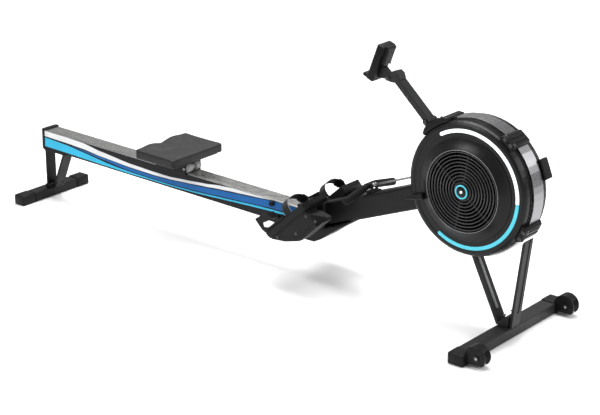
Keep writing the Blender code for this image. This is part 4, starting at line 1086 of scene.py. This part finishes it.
def make_monitor():
    """The monitor's readout, buttons, screws and seams, and the bolts of its arm."""
    face = -0.0759
    bm = bmesh.new()
    for up, width, height in ((0.066, 0.0075, 0.015), (0.04, 0.006, 0.012), (0.018, 0.006, 0.012)):
        for index in range(4):
            place = MONITOR @ Matrix.Translation((face, -0.0225 + index * 0.0118, up))
            add_digit(bm, place, width, height)
    for up in (0.0605, 0.035, 0.012):
        add_block(bm, (face - 0.00018, -0.0255, up), (face - 0.00002, 0.0255, up + 0.0007), MONITOR)
    piece("screen_readout", bm, segment, "monitor")
    bm = bmesh.new()
    button = ((0.0001, 0.0), (0.0055, 0.0), (0.0055, 0.001), (0.0045, 0.0018), (0.0001, 0.002))
    for across in (-0.02, 0.0, 0.02):
        spot = MONITOR @ Matrix.Translation((-0.0762, across, -0.009))
        add_lathe(bm, button, spot @ Matrix.Rotation(QUARTER, 4, "Z"), 24)
    piece("screen_buttons", bm, rubber, "monitor")
    make_bolts("monitor_screws", "monitor", [
        (MONITOR @ Vector((-0.0329, across, up)), MONITOR.to_3x3() @ Vector((1, 0, 0)), 0.0024, 0.0014)
        for across in (-0.018, 0.018) for up in (0.034, 0.096)
    ])
    bm = bmesh.new()
    for x in (-0.066, -0.0565):
        for y in (-0.0364, 0.0358):
            add_block(bm, (x, y, -0.03), (x + 0.0016, y + 0.0006, 0.09), MONITOR)
    piece("monitor_seams", bm, plastic, "monitor")

    bolts = [
        (ARM @ Vector((along, -0.0211, 0)), (0, -1, 0), 0.0022, 0.0014) for along in (0.045, 0.075)
    ]
    bolts += [
        (MONITOR_PIVOT + Vector((0, side * 0.0256, 0)), (0, side, 0), 0.005, 0.003)
        for _, side in SIDES
    ]
    make_bolts("arm_screws", "arm", bolts)
    make_bolts("arm_pivot_bolts", "frame", [
        (ARM @ Vector((ARM_HINGE, side * 0.0306, 0)), (0, side, 0), 0.0055, 0.0036) for _, side in SIDES
    ])


# ---------------- stand legs and feet


def add_capsule(bm, start, end, radius, low, high, place):
    """A slot-shaped bar: its outline lies in the YZ plane of place, round at both ends."""
    outline = []
    for centre, first in ((start, 1.0), (end, 0.0)):
        for turn in range(9):
            angle = pi * (first + turn / 8)
            outline.append((radius * cos(angle), centre + radius * sin(angle)))
    add_prism(bm, outline, low, high, place, "X")


def leg_frame(foot, top):
    """A frame at a leg's foot whose +Z runs up the leg; both points are (x, z)."""
    slope = atan2(top[0] - foot[0], top[1] - foot[1])
    return Matrix.Translation((foot[0], 0, foot[1])) @ Matrix.Rotation(slope, 4, "Y")


def make_leg(name, node, place, start, end):
    """The CAD leg with a long rounded slot pressed into its front face and into its rear face."""
    leg = new_object(name, nodes[node].data.copy())
    bm = bmesh.new()
    for low, high in ((0.0028, 0.02), (-0.02, -0.0028)):
        add_capsule(bm, start, end, 0.0095, low, high, place)
    bmesh.ops.recalc_face_normals(bm, faces=bm.faces[:])
    data = bpy.data.meshes.new(name + "_slot")
    bm.to_mesh(data)
    bm.free()
    cutter = new_object(name + "_slot", data)
    boolean = leg.modifiers.new("slot", "BOOLEAN")
    boolean.operation = "DIFFERENCE"
    boolean.solver = "EXACT"
    boolean.object = cutter
    apply_modifiers(leg)
    bpy.data.objects.remove(cutter, do_unlink=True)
    leg.data.materials.clear()
    leg.data.materials.append(stand_paint)
    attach(leg, "frame")
    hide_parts(node)


def make_feet():
    """The slotted legs, a pale strip painted in the rear one's slot as the highlight on its floor, and
    the bolts of the stands.
    """
    rear = leg_frame((1.0755, 0.042), (0.949, 0.3))
    make_leg("leg_rear", "front_leg_rear", rear, 0.055, 0.3)
    # Painted highlight: a pale strip on the slot's floor stands for the light falling on it.
    bm = bmesh.new()
    add_capsule(bm, 0.055, 0.3, 0.0058, 0.003, 0.0062, rear)
    piece("leg_slot_painted_highlight", bm, highlight_and_thread_grey, "frame")
    front = leg_frame((1.1285, 0.042), (1.169, 0.37))
    make_leg("leg_front", "front_leg_front", front, 0.06, 0.33)
    make_bolts("stand_bolts", "frame", [
        ((1.103, y, 0.0832), (0, 0, 1), 0.0045, 0.003) for y in (-0.024, 0.024)
    ])
    make_bolts("rear_stand_bolts", "frame", [
        ((x, y, 0.0546), (0, 0, 1), 0.0032, 0.0024)
        for x in (-1.1585, -1.129) for y in (-0.02, 0.02)
    ])


def make_wheels():
    """The grooved transport wheels with dished sides, and a bolt on each end of their axles."""
    x, z, half = 1.177, 0.04, 0.0108
    dish = [
        (0.0059, half), (0.012, half), (0.013, half - 0.0016),
        (0.0205, half - 0.0016), (0.0215, half), (0.027, half),
    ]
    tread = []
    for index in range(5):
        y = -half + 0.003 + index * 0.0036
        tread += [(0.0299, y), (0.0299, y + 0.0022), (0.0288, y + 0.0026), (0.0288, y + 0.0034)]
    profile = [(r, -y) for r, y in dish] + tread[:-2] + dish[::-1]
    for side_name, side in SIDES:
        bm = bmesh.new()
        add_lathe(bm, profile, Matrix.Translation((x, side * 0.28, z)), 48)
        tyre = piece(f"tyre_{side_name}", bm, rubber, f"wheel_{side_name}", 30.0)
        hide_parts(f"transport_wheel_{side_name}")
        low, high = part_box(f"wheel_axle_{side_name}")
        make_bolts(f"wheel_bolt_{side_name}", "frame", [
            ((x, y, z), (0, end, 0), 0.0027, 0.0022) for end, y in ((-1, low.y), (1, high.y))
        ], steel)


# ---------------- the CAD's own shapes

# What each CAD node wears; a node that a piece replaces is not seen.
NODE_MATERIALS = (
    (paint, "rear_foot_bar rear_stand main_beam rail_housing handle_bar"),
    (paint, "clamp_arm clamp_upper clamp_lower"),
    (stand_paint, "monitor_arm monitor_bracket front_base_bracket front_foot_bar"),
    (plastic, "rear_foot_cap_left rear_foot_cap_right front_foot_cap_left front_foot_cap_right"),
    (plastic, "rail_end_cap seat_carriage footboard_left footboard_right heel_cup_left heel_cup_right"),
    (plastic, "socket_box damper_lever handle_holder monitor_housing"),
    (shell, "casing_near casing_far"),
    (alloy, "slide_rail"),
    (rubber, "rail_front_stop"),
    (steel, "axle_bearing_near axle_bearing_far main_axle drive_sprocket"),
    (roller_grey, "seat_roller_front seat_roller_rear"),
    (dark_steel, "wheel_axle_left wheel_axle_right"),
    (band, "casing_band"),
    (fan, "flywheel"),
    (screen, "monitor_screen"),
)

# Moulded parts with rounder edges than the CAD: names, width of the rounding, segments, body.
SOFTENED = (
    ("monitor_housing", 0.006, 4, "monitor"),
    ("rear_foot_cap_left rear_foot_cap_right", 0.011, 4, "frame"),
    ("front_foot_cap_left front_foot_cap_right", 0.004, 3, "frame"),
    ("socket_box", 0.004, 3, "frame"),
    ("rail_end_cap", 0.003, 3, "frame"),
)


def soften(names, width, segments, body):
    """Puts a copy with generously rounded edges in the place of each named moulded part."""
    for name in names.split():
        source = nodes[name]
        mesh = source.data.copy()
        mesh.transform(source.matrix_world)
        bm = bmesh.new()
        bm.from_mesh(mesh)
        bmesh.ops.remove_doubles(bm, verts=bm.verts, dist=0.00001)
        flat = [
            edge for edge in bm.edges
            if len(edge.link_faces) == 2 and edge.calc_face_angle() < radians(1.0)
        ]
        bmesh.ops.dissolve_edges(bm, edges=flat, use_verts=True)
        copy = piece(f"{name}_soft", bm, plastic, body)
        rounder = copy.modifiers.new("rounder", "BEVEL")
        rounder.width = width
        rounder.segments = segments
        rounder.limit_method = "ANGLE"
        rounder.angle_limit = radians(28)
        apply_modifiers(copy)
        shade_smooth(copy.data, 40)
        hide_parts(name)


def dress_nodes():
    for material, names in NODE_MATERIALS:
        for name in names.split():
            for slot in nodes[name].material_slots:
                slot.material = material


make_camera()
make_floor()
make_studio()
dress_nodes()
for group in SOFTENED:
    soften(*group)
make_rail_print()
make_rail_fittings()
make_seat()
make_straps()
make_board_details()
make_chain()
make_grips()
make_grille("cage_near", -1, "grille_near")
make_grille("cage_far", 1, "grille_far")
make_hub()
make_lights()
make_saddle("clamp_arm", 125.5, 14.0)
make_saddle("clamp_upper", CLAMP_TURNS[0], CLAMP_REACH)
make_saddle("clamp_lower", CLAMP_TURNS[1], CLAMP_REACH)
make_rim_details()
make_monitor()
make_feet()
make_wheels()
